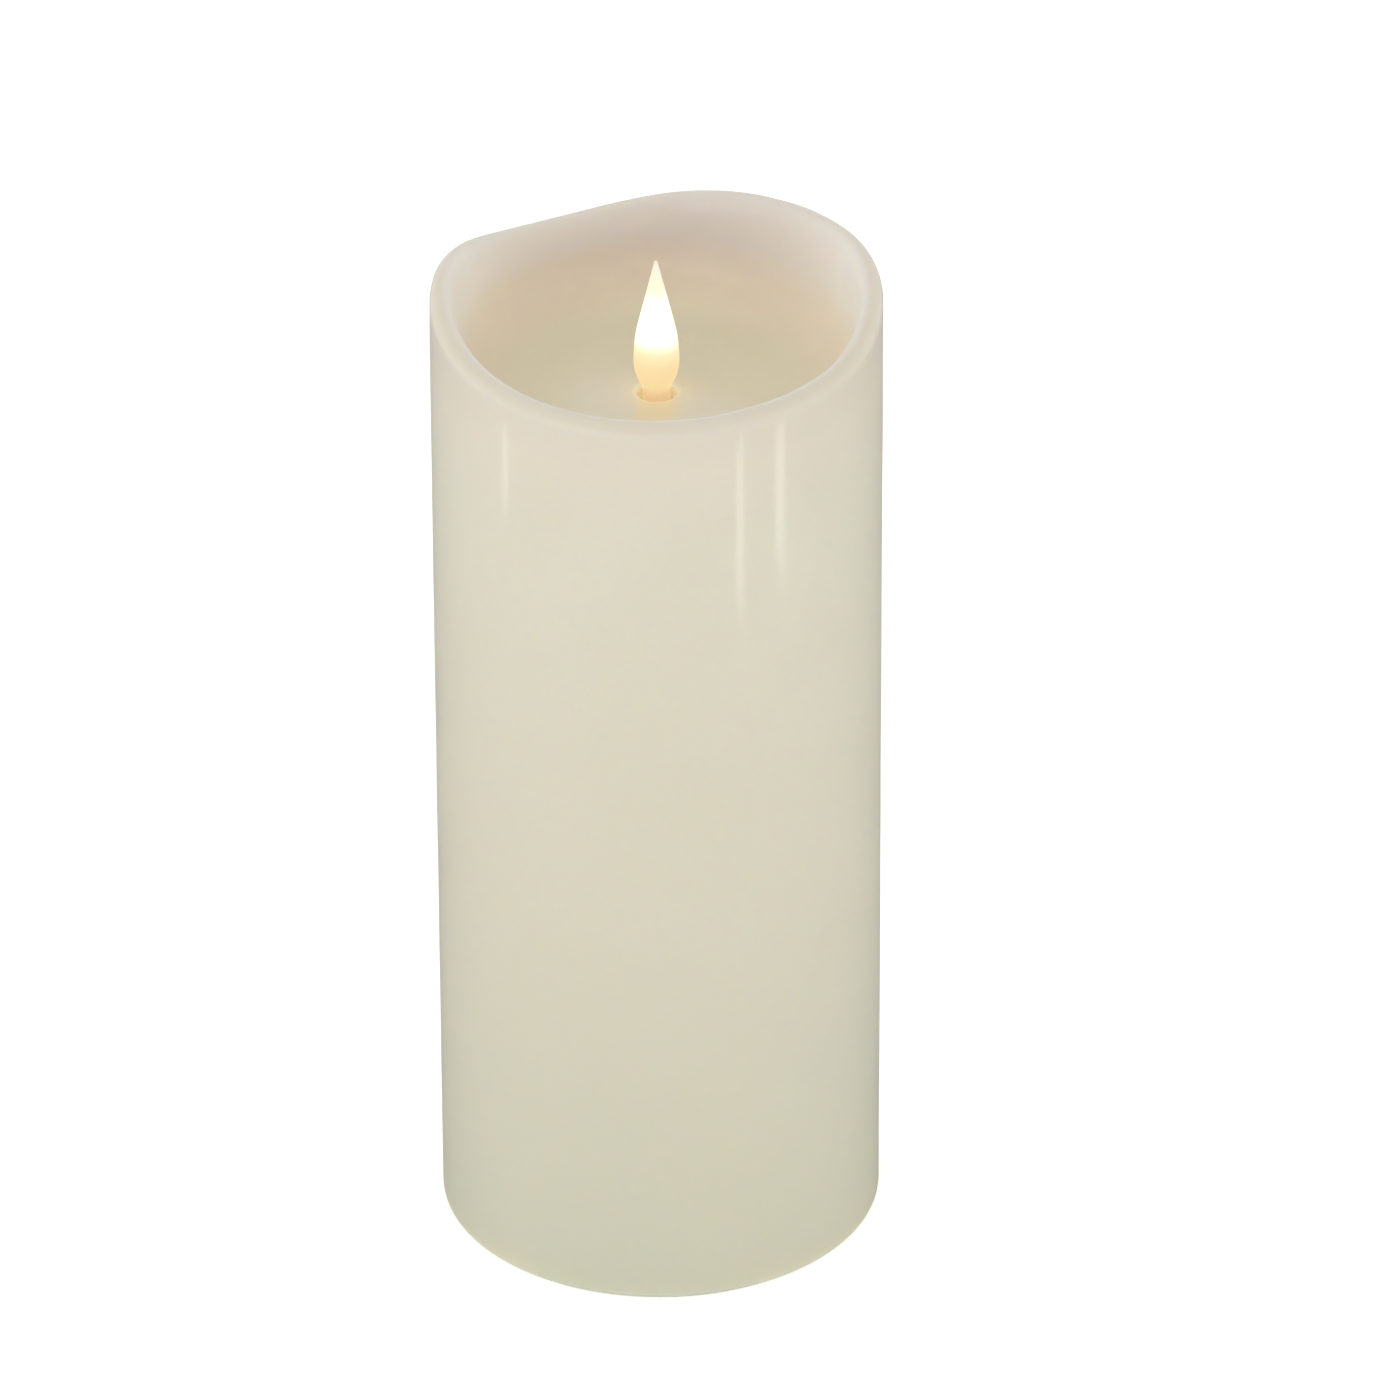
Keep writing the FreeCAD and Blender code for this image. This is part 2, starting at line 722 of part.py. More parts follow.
def make_tray():
    """The battery tray: a base disc with one oval well for both cells, a lid recess and a switch slot."""
    disc = cylinder("tray_disc", "core_radius", "tray_thickness", z="tray_lift")
    well = oval("tray_well", "well_outside", ("tray_lift", "tray_roof"))
    tools = [
        oval("tray_well_inside", "well_radius", ("tray_lift", "tray_ceiling")),
        oval("tray_lid_recess", "lid_recess", ("tray_lift", "lid_top + 0.1")),
        block("hinge_notch", ("-knuckle_length / 2 - lid_gap", "knuckle_length / 2 + lid_gap"),
              ("cell_offset + lid_radius - 1", "hinge_offset + knuckle_radius + lid_gap"),
              ("tray_lift", "tray_top")),
        block("swing_relief", ("-cell_span - hinge_relief", "cell_span + hinge_relief"),
              ("cell_offset + lid_radius - 1", "hinge_offset - lip_reach"), ("tray_lift", "lid_top + 0.1")),
        crossways("hinge_way", "hinge_pin_radius", "hinge_pin_length", "hinge_offset", "hinge_height"),
        cylinder("thumb_notch_way", "thumb_notch", "1.2", "0", "cell_offset - lid_recess", "tray_lift"),
        centred("slide_way", "2 * slide_slot", "slide_knob + 0.6", ("tray_lift", "tray_top"), "0",
                "-slide_offset"),
        centred("slide_recess", "2 * slide_slot + 6", "slide_knob + 5",
                ("tray_lift", "tray_lift + slide_pocket"), "0", "-slide_offset"),
    ]
    for side, x in (("left", "-cell_span"), ("right", "cell_span")):
        tools.append(centred(f"tab_way_{side}", "tab_width + 0.6", "contact_thickness + 0.6",
                             ("tray_ceiling", "tray_roof"), x, "tab_offset"))
    for number, angle in enumerate(BOSS_ANGLES, start=1):
        x, y = around("boss_circle", angle)
        tools.append(cylinder(f"tray_hole_{number}", "screw_radius + screw_clearance", "tray_thickness", x, y,
                              "tray_lift"))
        tools.append(cylinder(f"tray_sink_{number}", "screw_head + screw_clearance", "screw_head_height",
                              x, y, "tray_lift"))
    for side, x in (("left", "-slide_ear_span / 2"), ("right", "slide_ear_span / 2")):
        tools.append(cylinder(f"slide_screw_way_{side}", "slide_screw_radius", "2.2", x, "-slide_offset",
                              "tray_top - 2.2"))
    node("battery_tray", cut("battery_tray", fuse("tray_solid", disc, well), *tools))


def make_door():
    """The battery door: an oval lid with a knuckle at its back edge and the cells' bridge inside."""
    lid = oval("door_lid", "lid_radius", ("lid_bottom", "lid_top"))
    knuckle = crossways("door_knuckle", "knuckle_radius", "knuckle_length", "hinge_offset", "hinge_height")
    web = block("door_web", ("-knuckle_length / 2", "knuckle_length / 2"),
                ("cell_offset + lid_radius - 0.5", "hinge_offset"), ("lid_bottom", "lid_top"))
    bore = crossways("door_bore", "hinge_pin_radius + running_gap", "knuckle_length + 2", "hinge_offset",
                     "hinge_height")
    ribs = [centred(f"grip_rib_{number}", "7", "0.5", ("lid_bottom", "lid_bottom + 0.4"), "0",
                    f"cell_offset - lid_radius + 1.5 + {number} * 1.2")
            for number in range(3)]
    node("battery_door", cut("battery_door", fuse("door_solid", lid, knuckle, web), bore, *ribs))
    pin = crossways("door_hinge_pin", "hinge_pin_radius", "hinge_pin_length", "hinge_offset", "hinge_height")
    node("door_hinge_pin", pin)


def make_cells():
    """Two C cells side by side, one each way up."""
    body = "cell_length - cell_nub_height"
    for side, x, foot, nub in (
        ("left", "-cell_span", "left_cell_bottom", "left_cell_top - cell_nub_height"),
        ("right", "cell_span", "right_cell_bottom + cell_nub_height", "right_cell_bottom"),
    ):
        jacket = cylinder(f"{side}_jacket", "cell_radius", body, x, "cell_offset", foot)
        button = cylinder(f"{side}_nub", "cell_nub_radius", "cell_nub_height", x, "cell_offset", nub)
        node(f"{side}_battery", fuse(f"{side}_battery", jacket, button))


def make_contacts():
    """The positive plate, the negative plate and spring at the top, and the bridge on the door."""
    for side, x, name in (("left", "-cell_span", "positive_contact"),
                          ("right", "cell_span", "negative_contact")):
        plate = centred(f"{side}_plate", "contact_width", "2 * (cell_offset - tab_offset)",
                        ("contact_bottom", "tray_ceiling"), x, "cell_offset")
        tab = centred(f"{side}_tab", "tab_width", "contact_thickness", ("contact_bottom", "tab_top"), x,
                      "tab_offset")
        solids = [plate, tab]
        if side == "left":
            solids.append(cylinder("positive_dimple", "dimple_radius", "contact_bottom - left_cell_top", x,
                                   "cell_offset", "left_cell_top"))
        node(name, fuse(name, *solids))
    bridge = centred("bridge_strip", "2 * cell_span + 6", "contact_width",
                     ("lid_top", "lid_top + contact_thickness"), "0", "cell_offset")
    dimple_base = "lid_top + contact_thickness"
    dimple = cylinder("bridge_dimple", "dimple_radius", f"right_cell_bottom - ({dimple_base})", "cell_span",
                      "cell_offset", dimple_base)
    node("bridge_contact", fuse("bridge_contact", bridge, dimple))
    coil("negative_spring", "contact_spring_radius", "contact_wire", "tray_spring_length",
         size("tray_spring_turns"), "cell_span", "cell_offset", "right_cell_top")
    coil("door_spring", "contact_spring_radius", "contact_wire", "door_spring_length",
         size("door_spring_turns"), "-cell_span", "cell_offset", "lid_top + contact_thickness")


# ---- slide switch ----


def make_slide_switch():
    """The off, on and timer switch in the tray, with two screws through its ears."""
    shell = centred("slide_shell", "slide_length", "slide_width", ("tray_top", "slide_top"), "0",
                    "-slide_offset")
    ears = centred("slide_ears", "slide_ear_span + 2 * slide_ear_end", "slide_width",
                   ("tray_top", "tray_top + slide_frame"), "0", "-slide_offset")
    room = centred("slide_room", "2 * slide_slot", "slide_knob + 0.6", ("tray_top", "tray_top + 2.6"), "0",
                   "-slide_offset")
    holes = [cylinder(f"ear_hole_{side}", "slide_screw_radius + 0.1", "slide_frame", x, "-slide_offset",
                      "tray_top")
             for side, x in (("left", "-slide_ear_span / 2"), ("right", "slide_ear_span / 2"))]
    node("slide_switch_body", cut("slide_switch_body", fuse("slide_solid", shell, ears), room, *holes))
    knob = centred("slide_switch_knob", "slide_knob", "slide_knob", ("tray_lift + 0.2", "tray_top + 2.2"),
                   "0", "-slide_offset")
    node("slide_switch_knob", knob)
    screws = [pan_screw(f"slide_screw_{side}", x, "-slide_offset", "tray_top + slide_frame",
                        radius="slide_screw_radius", length="2.2 + slide_frame", head="slide_screw_head",
                        head_height="1", upwards=False)
              for side, x in (("left", "-slide_ear_span / 2"), ("right", "slide_ear_span / 2"))]
    node("slide_screws", group("slide_screws", *screws))


# ---- wires ----


def routed(points, radius):
    """A round wire along straight runs joined by arcs as large as the runs allow."""
    corners = [FreeCAD.Vector(*spot) for spot in points]
    runs = [after - before for before, after in zip(corners, corners[1:])]
    edges = []
    start = corners[0]
    for number, corner in enumerate(corners[1:-1]):
        before = FreeCAD.Vector(runs[number]).normalize()
        after = FreeCAD.Vector(runs[number + 1]).normalize()
        setback = 0.45 * min(runs[number].Length, runs[number + 1].Length)
        turn = before.getAngle(after)
        bend = setback / math.tan(turn / 2)
        enter = corner - before * setback
        leave = corner + after * setback
        inward = (after - before).normalize()
        middle = corner + inward * (bend / math.cos(turn / 2) - bend)
        edges.append(Part.LineSegment(start, enter).toShape())
        edges.append(Part.Arc(enter, middle, leave).toShape())
        start = leave
    edges.append(Part.LineSegment(start, corners[-1]).toShape())
    section = Part.Wire(Part.makeCircle(radius, corners[0], runs[0]))
    return Part.Wire(edges).makePipeShell([section], True, False)


def make_wires():
    """Battery and switch wires from the connector, and the lamp's two leads down to the board."""
    plug_y = -size("connector_offset")
    plug_z = size("connector_bottom")
    thick = size("wire_radius")
    tab_y = size("tab_offset") - size("contact_thickness") / 2 - thick
    tab_z = size("tab_top")
    for name, side in (("battery_wire_red", -1), ("battery_wire_black", 1)):
        start_x = side * 3.75
        end_x = side * size("cell_span")
        route = [
            (start_x, plug_y, plug_z),
            (start_x, plug_y, plug_z - 19),
            (end_x, tab_y, tab_z + 18),
            (end_x, tab_y, tab_z - 3),
        ]
        node(name, made(name, routed(route, thick)))
    switch_y = -size("slide_offset")
    switch_z = size("slide_top")
    for name, side in (("switch_wire_yellow", -1), ("switch_wire_white", 1)):
        route = [
            (side * 1.25, plug_y, plug_z),
            (side * 1.25, plug_y, plug_z - 22),
            (side * 2.5, switch_y, plug_z - 42),
            (side * 3.0, switch_y - 2.5, switch_z + 36),
            (side * 2.5, switch_y, switch_z + 14),
            (side * 2.5, switch_y, switch_z),
        ]
        node(name, made(name, routed(route, thick)))
    thin = size("lead_radius")
    offset = size("lead_offset")
    for name, side in (("lamp_lead_front", -1), ("lamp_lead_back", 1)):
        route = [
            (0, side * 0.6, size("lamp_bottom")),
            (0, side * 0.6, size("flange_bottom") + 0.8),
            (0, side * offset, size("foot_bottom") + 1.4),
            (0, side * offset, size("board_top")),
        ]
        node(name, made(name, routed(route, thin)))


def write_parts():
    """Check every object, then write one file for each sub-part."""
    for thing in doc.Objects:
        if "Invalid" in thing.State or "Error" in thing.State:
            raise RuntimeError(f"{thing.Name} failed: {thing.State}")
    for part in subparts:
        if part.Shape.isNull() or not part.Shape.isValid():
            raise RuntimeError(f"{part.Label} has no valid shape")
    os.makedirs("parts", exist_ok=True)
    for part in subparts:
        part.Shape.exportStep(f"parts/{part.Label}.step")
        print(f"{part.Label}: {len(part.Shape.Solids)} solid(s), {part.Shape.Volume:.1f} mm3")


sheet = make_sheet()
levels = make_levels()
make_wax_shell()
make_flame()
make_lamp()
make_plunger()
make_bush()
make_return_spring()
make_housing()
make_core_screws()
make_board()
make_push_switch()
make_electronics()
make_glue_ring()
make_tray()
make_door()
make_cells()
make_contacts()
make_slide_switch()
make_wires()
doc.recompute()
write_parts()
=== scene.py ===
# %% [markdown]
# # A flameless candle: how its looks are made
#
# The object is a thick wax pillar with a melted, wavy rim. In the shallow well at its top stands a small
# translucent flame, lit from inside, that is pressed down to switch it on and off. Inside the wax are a
# plastic core, a spring, a switch, a circuit board and two cells behind a hinged door.
#
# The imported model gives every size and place. This lesson only makes the surfaces that the eye meets: it
# turns and melts the wax, lights the flame, winds the springs, and gives every piece a finish of its own.

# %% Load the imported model
import math
import bmesh
import bpy
from mathutils import Matrix, Quaternion, Vector
from mathutils.bvhtree import BVHTree


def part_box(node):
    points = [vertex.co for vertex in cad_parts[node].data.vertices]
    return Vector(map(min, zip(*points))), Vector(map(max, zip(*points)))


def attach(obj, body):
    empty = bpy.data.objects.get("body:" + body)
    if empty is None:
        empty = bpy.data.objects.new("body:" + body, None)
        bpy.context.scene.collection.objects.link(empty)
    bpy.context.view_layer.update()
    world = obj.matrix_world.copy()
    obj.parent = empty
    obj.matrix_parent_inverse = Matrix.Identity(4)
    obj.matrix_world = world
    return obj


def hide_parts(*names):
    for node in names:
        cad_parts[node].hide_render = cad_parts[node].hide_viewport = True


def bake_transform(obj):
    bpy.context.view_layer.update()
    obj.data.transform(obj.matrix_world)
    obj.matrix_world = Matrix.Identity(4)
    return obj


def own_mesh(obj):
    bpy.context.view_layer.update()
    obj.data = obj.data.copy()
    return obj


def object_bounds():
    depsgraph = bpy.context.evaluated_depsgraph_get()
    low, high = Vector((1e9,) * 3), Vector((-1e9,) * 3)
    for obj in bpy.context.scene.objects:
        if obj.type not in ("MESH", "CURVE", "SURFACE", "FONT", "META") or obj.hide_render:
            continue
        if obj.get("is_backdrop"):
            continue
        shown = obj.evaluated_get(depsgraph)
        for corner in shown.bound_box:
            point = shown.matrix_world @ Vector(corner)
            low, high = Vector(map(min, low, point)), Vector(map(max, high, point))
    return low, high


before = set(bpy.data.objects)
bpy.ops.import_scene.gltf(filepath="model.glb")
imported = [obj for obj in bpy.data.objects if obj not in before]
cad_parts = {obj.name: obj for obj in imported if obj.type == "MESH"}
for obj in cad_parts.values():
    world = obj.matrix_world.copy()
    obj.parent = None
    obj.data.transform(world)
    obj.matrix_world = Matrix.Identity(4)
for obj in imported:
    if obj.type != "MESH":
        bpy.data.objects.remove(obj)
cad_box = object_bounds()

MM = 0.001
scene = bpy.context.scene
print("size, mm:", [round((high - low) / MM, 1) for low, high in zip(*cad_box)])

# %% [markdown]
# ## The camera
#
# A candle is looked at from a little above, so that the well and the flame both show. A long lens from two
# metres away keeps its sides almost parallel. The camera could be kept level and its sensor shifted, but a
# plain aim at a point close to the axis keeps every other view of the object undisturbed.

# %% Camera
CAMERA_LENS = 308.7
CAMERA_DISTANCE = 2.052
CAMERA_ELEVATION = math.radians(30.56)
CAMERA_LEAN = math.radians(-0.21)
CAMERA_AIM = Vector((0.0071, 0.0043, 0.0947))

towards_camera = Vector((0.0, -math.cos(CAMERA_ELEVATION), math.sin(CAMERA_ELEVATION)))
camera_data = bpy.data.cameras.new("camera")
camera_data.lens = CAMERA_LENS
camera_data.sensor_width = 36.0
camera_data.clip_start = 0.05
camera_data.clip_end = 50.0
camera = bpy.data.objects.new("camera", camera_data)
camera.location = CAMERA_AIM + towards_camera * CAMERA_DISTANCE
upright = towards_camera.to_track_quat("Z", "Y")
camera.rotation_euler = (upright @ Quaternion((0.0, 0.0, 1.0), CAMERA_LEAN)).to_euler()
scene.collection.objects.link(camera)
scene.camera = camera
print("camera at", [round(value, 3) for value in camera.location])

# %% [markdown]
# ## The studio
#
# The wax is pale and almost matt, so it shows the light more than its own colour. A white room gives an
# even fill, a soft box overhead lights the well, and another at the left front rounds the cylinder. Three
# low cards near the table draw the faint upright streaks that a satin wall shows. They could be glowing
# planes, but as lamps they stay out of the way of every view.

# %% Floor, room light and lamps
FLOOR_RADIUS = 6.0
PAPER_GLOW = 0.42
ROOM_LEVELS = ((0.0, 0.10), (0.36, 0.18), (0.40, 0.86), (0.5, 0.86), (0.75, 0.72), (1.0, 0.60))
CARD_GLOW = 14.0
CARD_REACH = 0.2
CARD_DROP = CARD_REACH * math.tan(CAMERA_ELEVATION)
MIRROR_RADIUS = 0.038
CARDS = (("right_card", 21.5, 0.155, 0.016, 0.030), ("far_right_card", 33.0, 0.160, 0.022, 0.026),
         ("left_card", -42.0, 0.165, 0.016, 0.014))


def new_material(name):
    """A material with its tree, and the shader that everything ends in."""
    material = bpy.data.materials.new(name)
    material.use_nodes = True
    return material, material.node_tree, material.node_tree.nodes["Principled BSDF"]


def put(tree, kind, inputs=None, **settings):
    """Add a node to any tree, set it up, and fill or link its inputs."""
    node = tree.nodes.new(kind)
    for name, value in settings.items():
        setattr(node, name, value)
    for key, value in (inputs or {}).items():
        if isinstance(value, bpy.types.NodeSocket):
            tree.links.new(value, node.inputs[key])
        else:
            node.inputs[key].default_value = value
    return node


def link_into(tree, shader, **sockets):
    """Link sockets into the shader's inputs; an underscore stands for a space."""
    for name, socket in sockets.items():
        tree.links.new(socket, shader.inputs[name.replace("_", " ")])


def lamp(name, place, aim, width, height, power):
    """A rectangular soft light that looks at a point and can't be seen itself."""
    light = bpy.data.lights.new(name, "AREA")
    light.shape = "RECTANGLE"
    light.size = width
    light.size_y = height
    light.energy = power
    holder = bpy.data.objects.new(name, light)
    holder.location = place
    holder.rotation_euler = (Vector(place) - Vector(aim)).to_track_quat("Z", "Y").to_euler()
    holder.visible_camera = False
    scene.collection.objects.link(holder)


def make_floor():
    """A wide, plain, pale disc that the candle stands on."""
    mesh = bpy.data.meshes.new("floor")
    disc = bmesh.new()
    bmesh.ops.create_circle(disc, cap_ends=True, segments=96, radius=FLOOR_RADIUS)
    disc.to_mesh(mesh)
    disc.free()
    floor = bpy.data.objects.new("floor", mesh)
    scene.collection.objects.link(floor)
    material, tree, shader = new_material("studio_paper")
    shader.inputs["Base Color"].default_value = (0.95, 0.95, 0.95, 1.0)
    shader.inputs["Emission Color"].default_value = (1.0, 1.0, 1.0, 1.0)
    shader.inputs["Emission Strength"].default_value = PAPER_GLOW
    shader.inputs["Roughness"].default_value = 0.9
    shader.inputs["Specular IOR Level"].default_value = 0.1
    mesh.materials.append(material)
    floor.visible_glossy = False
    floor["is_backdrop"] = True


def make_room():
    """A room that is bright at eye level, softer overhead, and dark below the table."""
    room = bpy.data.worlds.new("room")
    room.use_nodes = True
    tree = room.node_tree
    way = put(tree, "ShaderNodeTexCoord").outputs["Generated"]
    height = put(tree, "ShaderNodeSeparateXYZ", {0: way}).outputs["Z"]
    share = put(tree, "ShaderNodeMapRange", {0: height, 1: -1.0, 2: 1.0}).outputs[0]
    levels = put(tree, "ShaderNodeValToRGB", {0: share})
    elements = levels.color_ramp.elements
    for position, level in ROOM_LEVELS[2:]:
        elements.new(position)
    for element, (position, level) in zip(elements, ROOM_LEVELS):
        element.position = position
        element.color = (level, level, level, 1.0)
    tree.links.new(levels.outputs["Color"], tree.nodes["Background"].inputs["Color"])
    return room


def lamp_card(name, turn, level, width, height):
    """A card that the camera sees mirrored in the wax wall, at a turn from the front and at a height."""
    facing, mirrored = math.radians(turn), math.radians(2 * turn)
    wall = Vector((MIRROR_RADIUS * math.sin(facing), -MIRROR_RADIUS * math.cos(facing), level))
    way = Vector((math.sin(mirrored), -math.cos(mirrored), 0.0)) * CARD_REACH
    lamp(name, wall + way - Vector((0.0, 0.0, CARD_DROP)), wall, width, height, CARD_GLOW * width * height)


make_floor()
scene.world = make_room()
scene.view_settings.view_transform = "Standard"
middle = (0.0, 0.0, 0.09)
lamp("overhead_box", (-0.3, 0.0, 2.2), middle, 1.8, 1.8, 4.0)
lamp("front_box", (-1.1, -1.5, 0.9), middle, 1.2, 1.2, 2.8)
for card in CARDS:
    lamp_card(*card)

# %% [markdown]
# ## Reading the rim off the model
#
# The rim was melted by hand, so its height goes round the candle as a few slow waves. They could be typed
# in again here, but then two files would have to agree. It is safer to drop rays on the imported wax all
# round, and to take the waves out of those heights with a Fourier sum: a height and a turn for each wave.

# %% Waves of the rim
WAVES = 5
flame_low, flame_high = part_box("flame_tip")
wax_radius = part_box("wax_shell")[1].x
WAX_WALL = 5.0 * MM
RIM_STEPS = 120


def surface_of(node):
    """A CAD node's surface, ready for rays."""
    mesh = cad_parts[node].data
    points = [vertex.co for vertex in mesh.vertices]
    return BVHTree.FromPolygons(points, [polygon.vertices[:] for polygon in mesh.polygons])


def height_at(surface, radius, turn):
    """The height of the first surface met by a ray that falls at a turn from the front."""
    start = Vector((radius * math.sin(turn), -radius * math.cos(turn), 1.0))
    return surface.ray_cast(start, Vector((0.0, 0.0, -1.0)))[0].z


wax_surface = surface_of("wax_shell")
turns = [2 * math.pi * step / RIM_STEPS for step in range(RIM_STEPS)]
rim = [height_at(wax_surface, wax_radius - WAX_WALL / 2, turn) for turn in turns]
rim_height = sum(rim) / RIM_STEPS
rim_waves = []
for number in range(1, WAVES + 1):
    along = 2 * sum(level * math.cos(number * turn) for level, turn in zip(rim, turns)) / RIM_STEPS
    across = 2 * sum(level * math.sin(number * turn) for level, turn in zip(rim, turns)) / RIM_STEPS
    rim_waves.append((math.hypot(along, across), math.atan2(across, along) / number))
well_floor = height_at(wax_surface, 0.6 * wax_radius, 0.0)
print("mean rim, mm:", round(rim_height / MM, 2), "well floor, mm:", round(well_floor / MM, 2))
print("waves, mm:", [round(height / MM, 2) for height, turn in rim_waves])

# %% [markdown]
# ## A tree that turns an outline
#
# Much of a candle is round: the wax, the flame and the cells. Each could be a Screw modifier or a spun edge
# loop. One small Geometry Nodes tree does it for all of them: it takes an outline, drawn as a chain of
# points with the radius along X and the height along Z, copies it round the axis on a grid, and merges the
# seam and the poles, so that the result is one closed skin.

# %% Helpers for Geometry Nodes
def new_tree(name, *inputs):
    """An empty geometry tree with a geometry input and output, and named inputs with their defaults."""
    tree = bpy.data.node_groups.new(name, "GeometryNodeTree")
    tree.interface.new_socket("Geometry", in_out="INPUT", socket_type="NodeSocketGeometry")
    for label, kind, value in inputs:
        socket = tree.interface.new_socket(label, in_out="INPUT", socket_type="NodeSocket" + kind)
        if value is not None:
            socket.default_value = value
    tree.interface.new_socket("Geometry", in_out="OUTPUT", socket_type="NodeSocketGeometry")
    return tree, tree.nodes.new("NodeGroupInput").outputs


def maths(tree, operation, first, second=0.0):
    """One sum or function of numbers in a tree."""
    return put(tree, "ShaderNodeMath", {0: first, 1: second}, operation=operation).outputs[0]


def finish_tree(tree, geometry, material):
    """End a tree in real geometry with its material set."""
    real = put(tree, "GeometryNodeRealizeInstances", {"Geometry": geometry})
    painted = put(tree, "GeometryNodeSetMaterial", {"Geometry": real.outputs[0], "Material": material})
    tree.links.new(painted.outputs[0], tree.nodes.new("NodeGroupOutput").inputs[0])


def grow(name, tree, source=None, **inputs):
    """Run a tree on a mesh, and keep what it makes as a plain mesh object."""
    source = source or bpy.data.meshes.new(name + "_source")
    carrier = bpy.data.objects.new(name + "_source", source)
    scene.collection.objects.link(carrier)
    modifier = carrier.modifiers.new("shape", "NODES")
    modifier.node_group = tree
    for item in tree.interface.items_tree:
        key = item.name.lower().replace(" ", "_")
        if item.in_out == "INPUT" and key in inputs:
            modifier[item.identifier] = inputs[key]
    layers = bpy.context.evaluated_depsgraph_get()
    mesh = bpy.data.meshes.new_from_object(carrier.evaluated_get(layers), depsgraph=layers)
    carrier.modifiers.remove(modifier)
    bpy.data.objects.remove(carrier)
    mesh.name = name
    mesh.materials.clear()
    mesh.materials.append(inputs["material"])
    mesh.polygons.foreach_set("material_index", [0] * len(mesh.polygons))
    piece = bpy.data.objects.new(name, mesh)
    scene.collection.objects.link(piece)
    return piece


def smooth(piece, angle=35.0):
    """Shade a piece smoothly except over edges sharper than an angle."""
    piece.data.shade_smooth()
    piece.data.set_sharp_from_angle(angle=math.radians(angle))


def volume_of(piece):
    """The volume inside a closed mesh; it is above zero when its faces point outwards."""
    shell = bmesh.new()
    shell.from_mesh(piece.data)
    volume = shell.calc_volume(signed=True)
    loose = sum(1 for edge in shell.edges if not edge.is_manifold)
    shell.free()
    return volume, loose


def report(piece):
    """Print what a finished piece measures."""
    volume, loose = volume_of(piece)
    print(piece.name, "faces", len(piece.data.polygons), "cm3", round(volume * 1e6, 3), "open edges", loose)


# %% The turning tree
SEAM_GAP = 0.002 * MM


def make_turning_tree():
    """A grid of the outline's points, one column for each step round the axis."""
    tree, given = new_tree("turned_outline", ("Steps", "Int", 96), ("Material", "Material", None))
    size = put(tree, "GeometryNodeAttributeDomainSize", {"Geometry": given["Geometry"]})
    rows = size.outputs["Point Count"]
    columns = maths(tree, "ADD", given["Steps"], 1)
    grid = put(tree, "GeometryNodeMeshGrid", {"Vertices X": columns, "Vertices Y": rows})
    index = put(tree, "GeometryNodeInputIndex").outputs[0]
    column = maths(tree, "FLOOR", maths(tree, "DIVIDE", index, rows))
    row = maths(tree, "SUBTRACT", index, maths(tree, "MULTIPLY", column, rows))
    turn = maths(tree, "MULTIPLY", maths(tree, "DIVIDE", column, given["Steps"]), 2 * math.pi)
    where = put(tree, "GeometryNodeInputPosition").outputs[0]
    sample = put(tree, "GeometryNodeSampleIndex", data_type="FLOAT_VECTOR", domain="POINT")
    tree.links.new(given["Geometry"], sample.inputs["Geometry"])
    tree.links.new(where, sample.inputs["Value"])
    tree.links.new(row, sample.inputs["Index"])
    parts = put(tree, "ShaderNodeSeparateXYZ", {0: sample.outputs[0]}).outputs
    left = maths(tree, "MULTIPLY", parts["X"], maths(tree, "SINE", turn))
    front = maths(tree, "MULTIPLY", parts["X"], maths(tree, "COSINE", turn))
    back = maths(tree, "MULTIPLY", front, -1.0)
    place = put(tree, "ShaderNodeCombineXYZ", {"X": left, "Y": back, "Z": parts["Z"]})
    turned = put(tree, "GeometryNodeSetPosition", {
        "Geometry": grid.outputs["Mesh"], "Position": place.outputs[0]})
    closed = put(tree, "GeometryNodeMergeByDistance", {
        "Geometry": turned.outputs[0], "Distance": SEAM_GAP})
    finish_tree(tree, closed.outputs[0], given["Material"])
    return tree


TURNED = make_turning_tree()
print("turning tree:", len(TURNED.nodes), "nodes")

# %% [markdown]
# An outline is a chain of straight runs and arcs. Each run and arc is divided to its own spacing, because a
# rim that catches the light needs far more points than the inside of a tube.

# %% Helpers for outlines
def run(start, end, spacing):
    """Points along a straight line, without its last one."""
    count = max(1, round(math.dist(start, end) / spacing))
    return [(start[0] + (end[0] - start[0]) * step / count, start[1] + (end[1] - start[1]) * step / count)
            for step in range(count)]


def bend(centre, radius, first, last, spacing):
    """Points along an arc between two angles in degrees, without its last one."""
    first, last = math.radians(first), math.radians(last)
    count = max(2, round(abs(last - first) * radius / spacing))
    angles = [first + (last - first) * step / count for step in range(count)]
    return [(centre[0] + radius * math.cos(angle), centre[1] + radius * math.sin(angle)) for angle in angles]


def outline_mesh(name, points):
    """A chain of points as a mesh, with the radius along X and the height along Z."""
    mesh = bpy.data.meshes.new(name)
    chain = [(radius, 0.0, height) for radius, height in points]
    mesh.from_pydata(chain, [(step, step + 1) for step in range(len(chain) - 1)], [])
    return mesh


# %% [markdown]
# ## The finish of the wax
#
# Paraffin wax is cloudy right through. Light goes a few millimetres in and comes back, so thin edges glow
# and shadows are soft: that is subsurface scattering. Its skin is satin, with a cloudy tone, a few tiny
# dark specks, and shallow hand marks. Light and shade are painted into it too: the wax is painted darker
# towards the bottom, the well lighter near the rim, darker at the back and warm on its floor, and a painted
# amber glow rings the lamp's stem, with a faint painted glow on the well's side walls. All of it is worked
# out from object coordinates, so the pattern stays in the wax wherever it is seen from.

# %% Helpers for finishes
MIX_FACTOR, MIX_FIRST, MIX_SECOND, MIX_RESULT = 0, 6, 7, 2


def ramp(tree, factor, stops):
    """Colours along a number, as a colour ramp."""
    node = put(tree, "ShaderNodeValToRGB", {0: factor})
    elements = node.color_ramp.elements
    while len(elements) < len(stops):
        elements.new(1.0)
    for element, (position, colour) in zip(elements, stops):
        element.position = position
        element.color = (*colour, 1.0)
    return node.outputs["Color"]


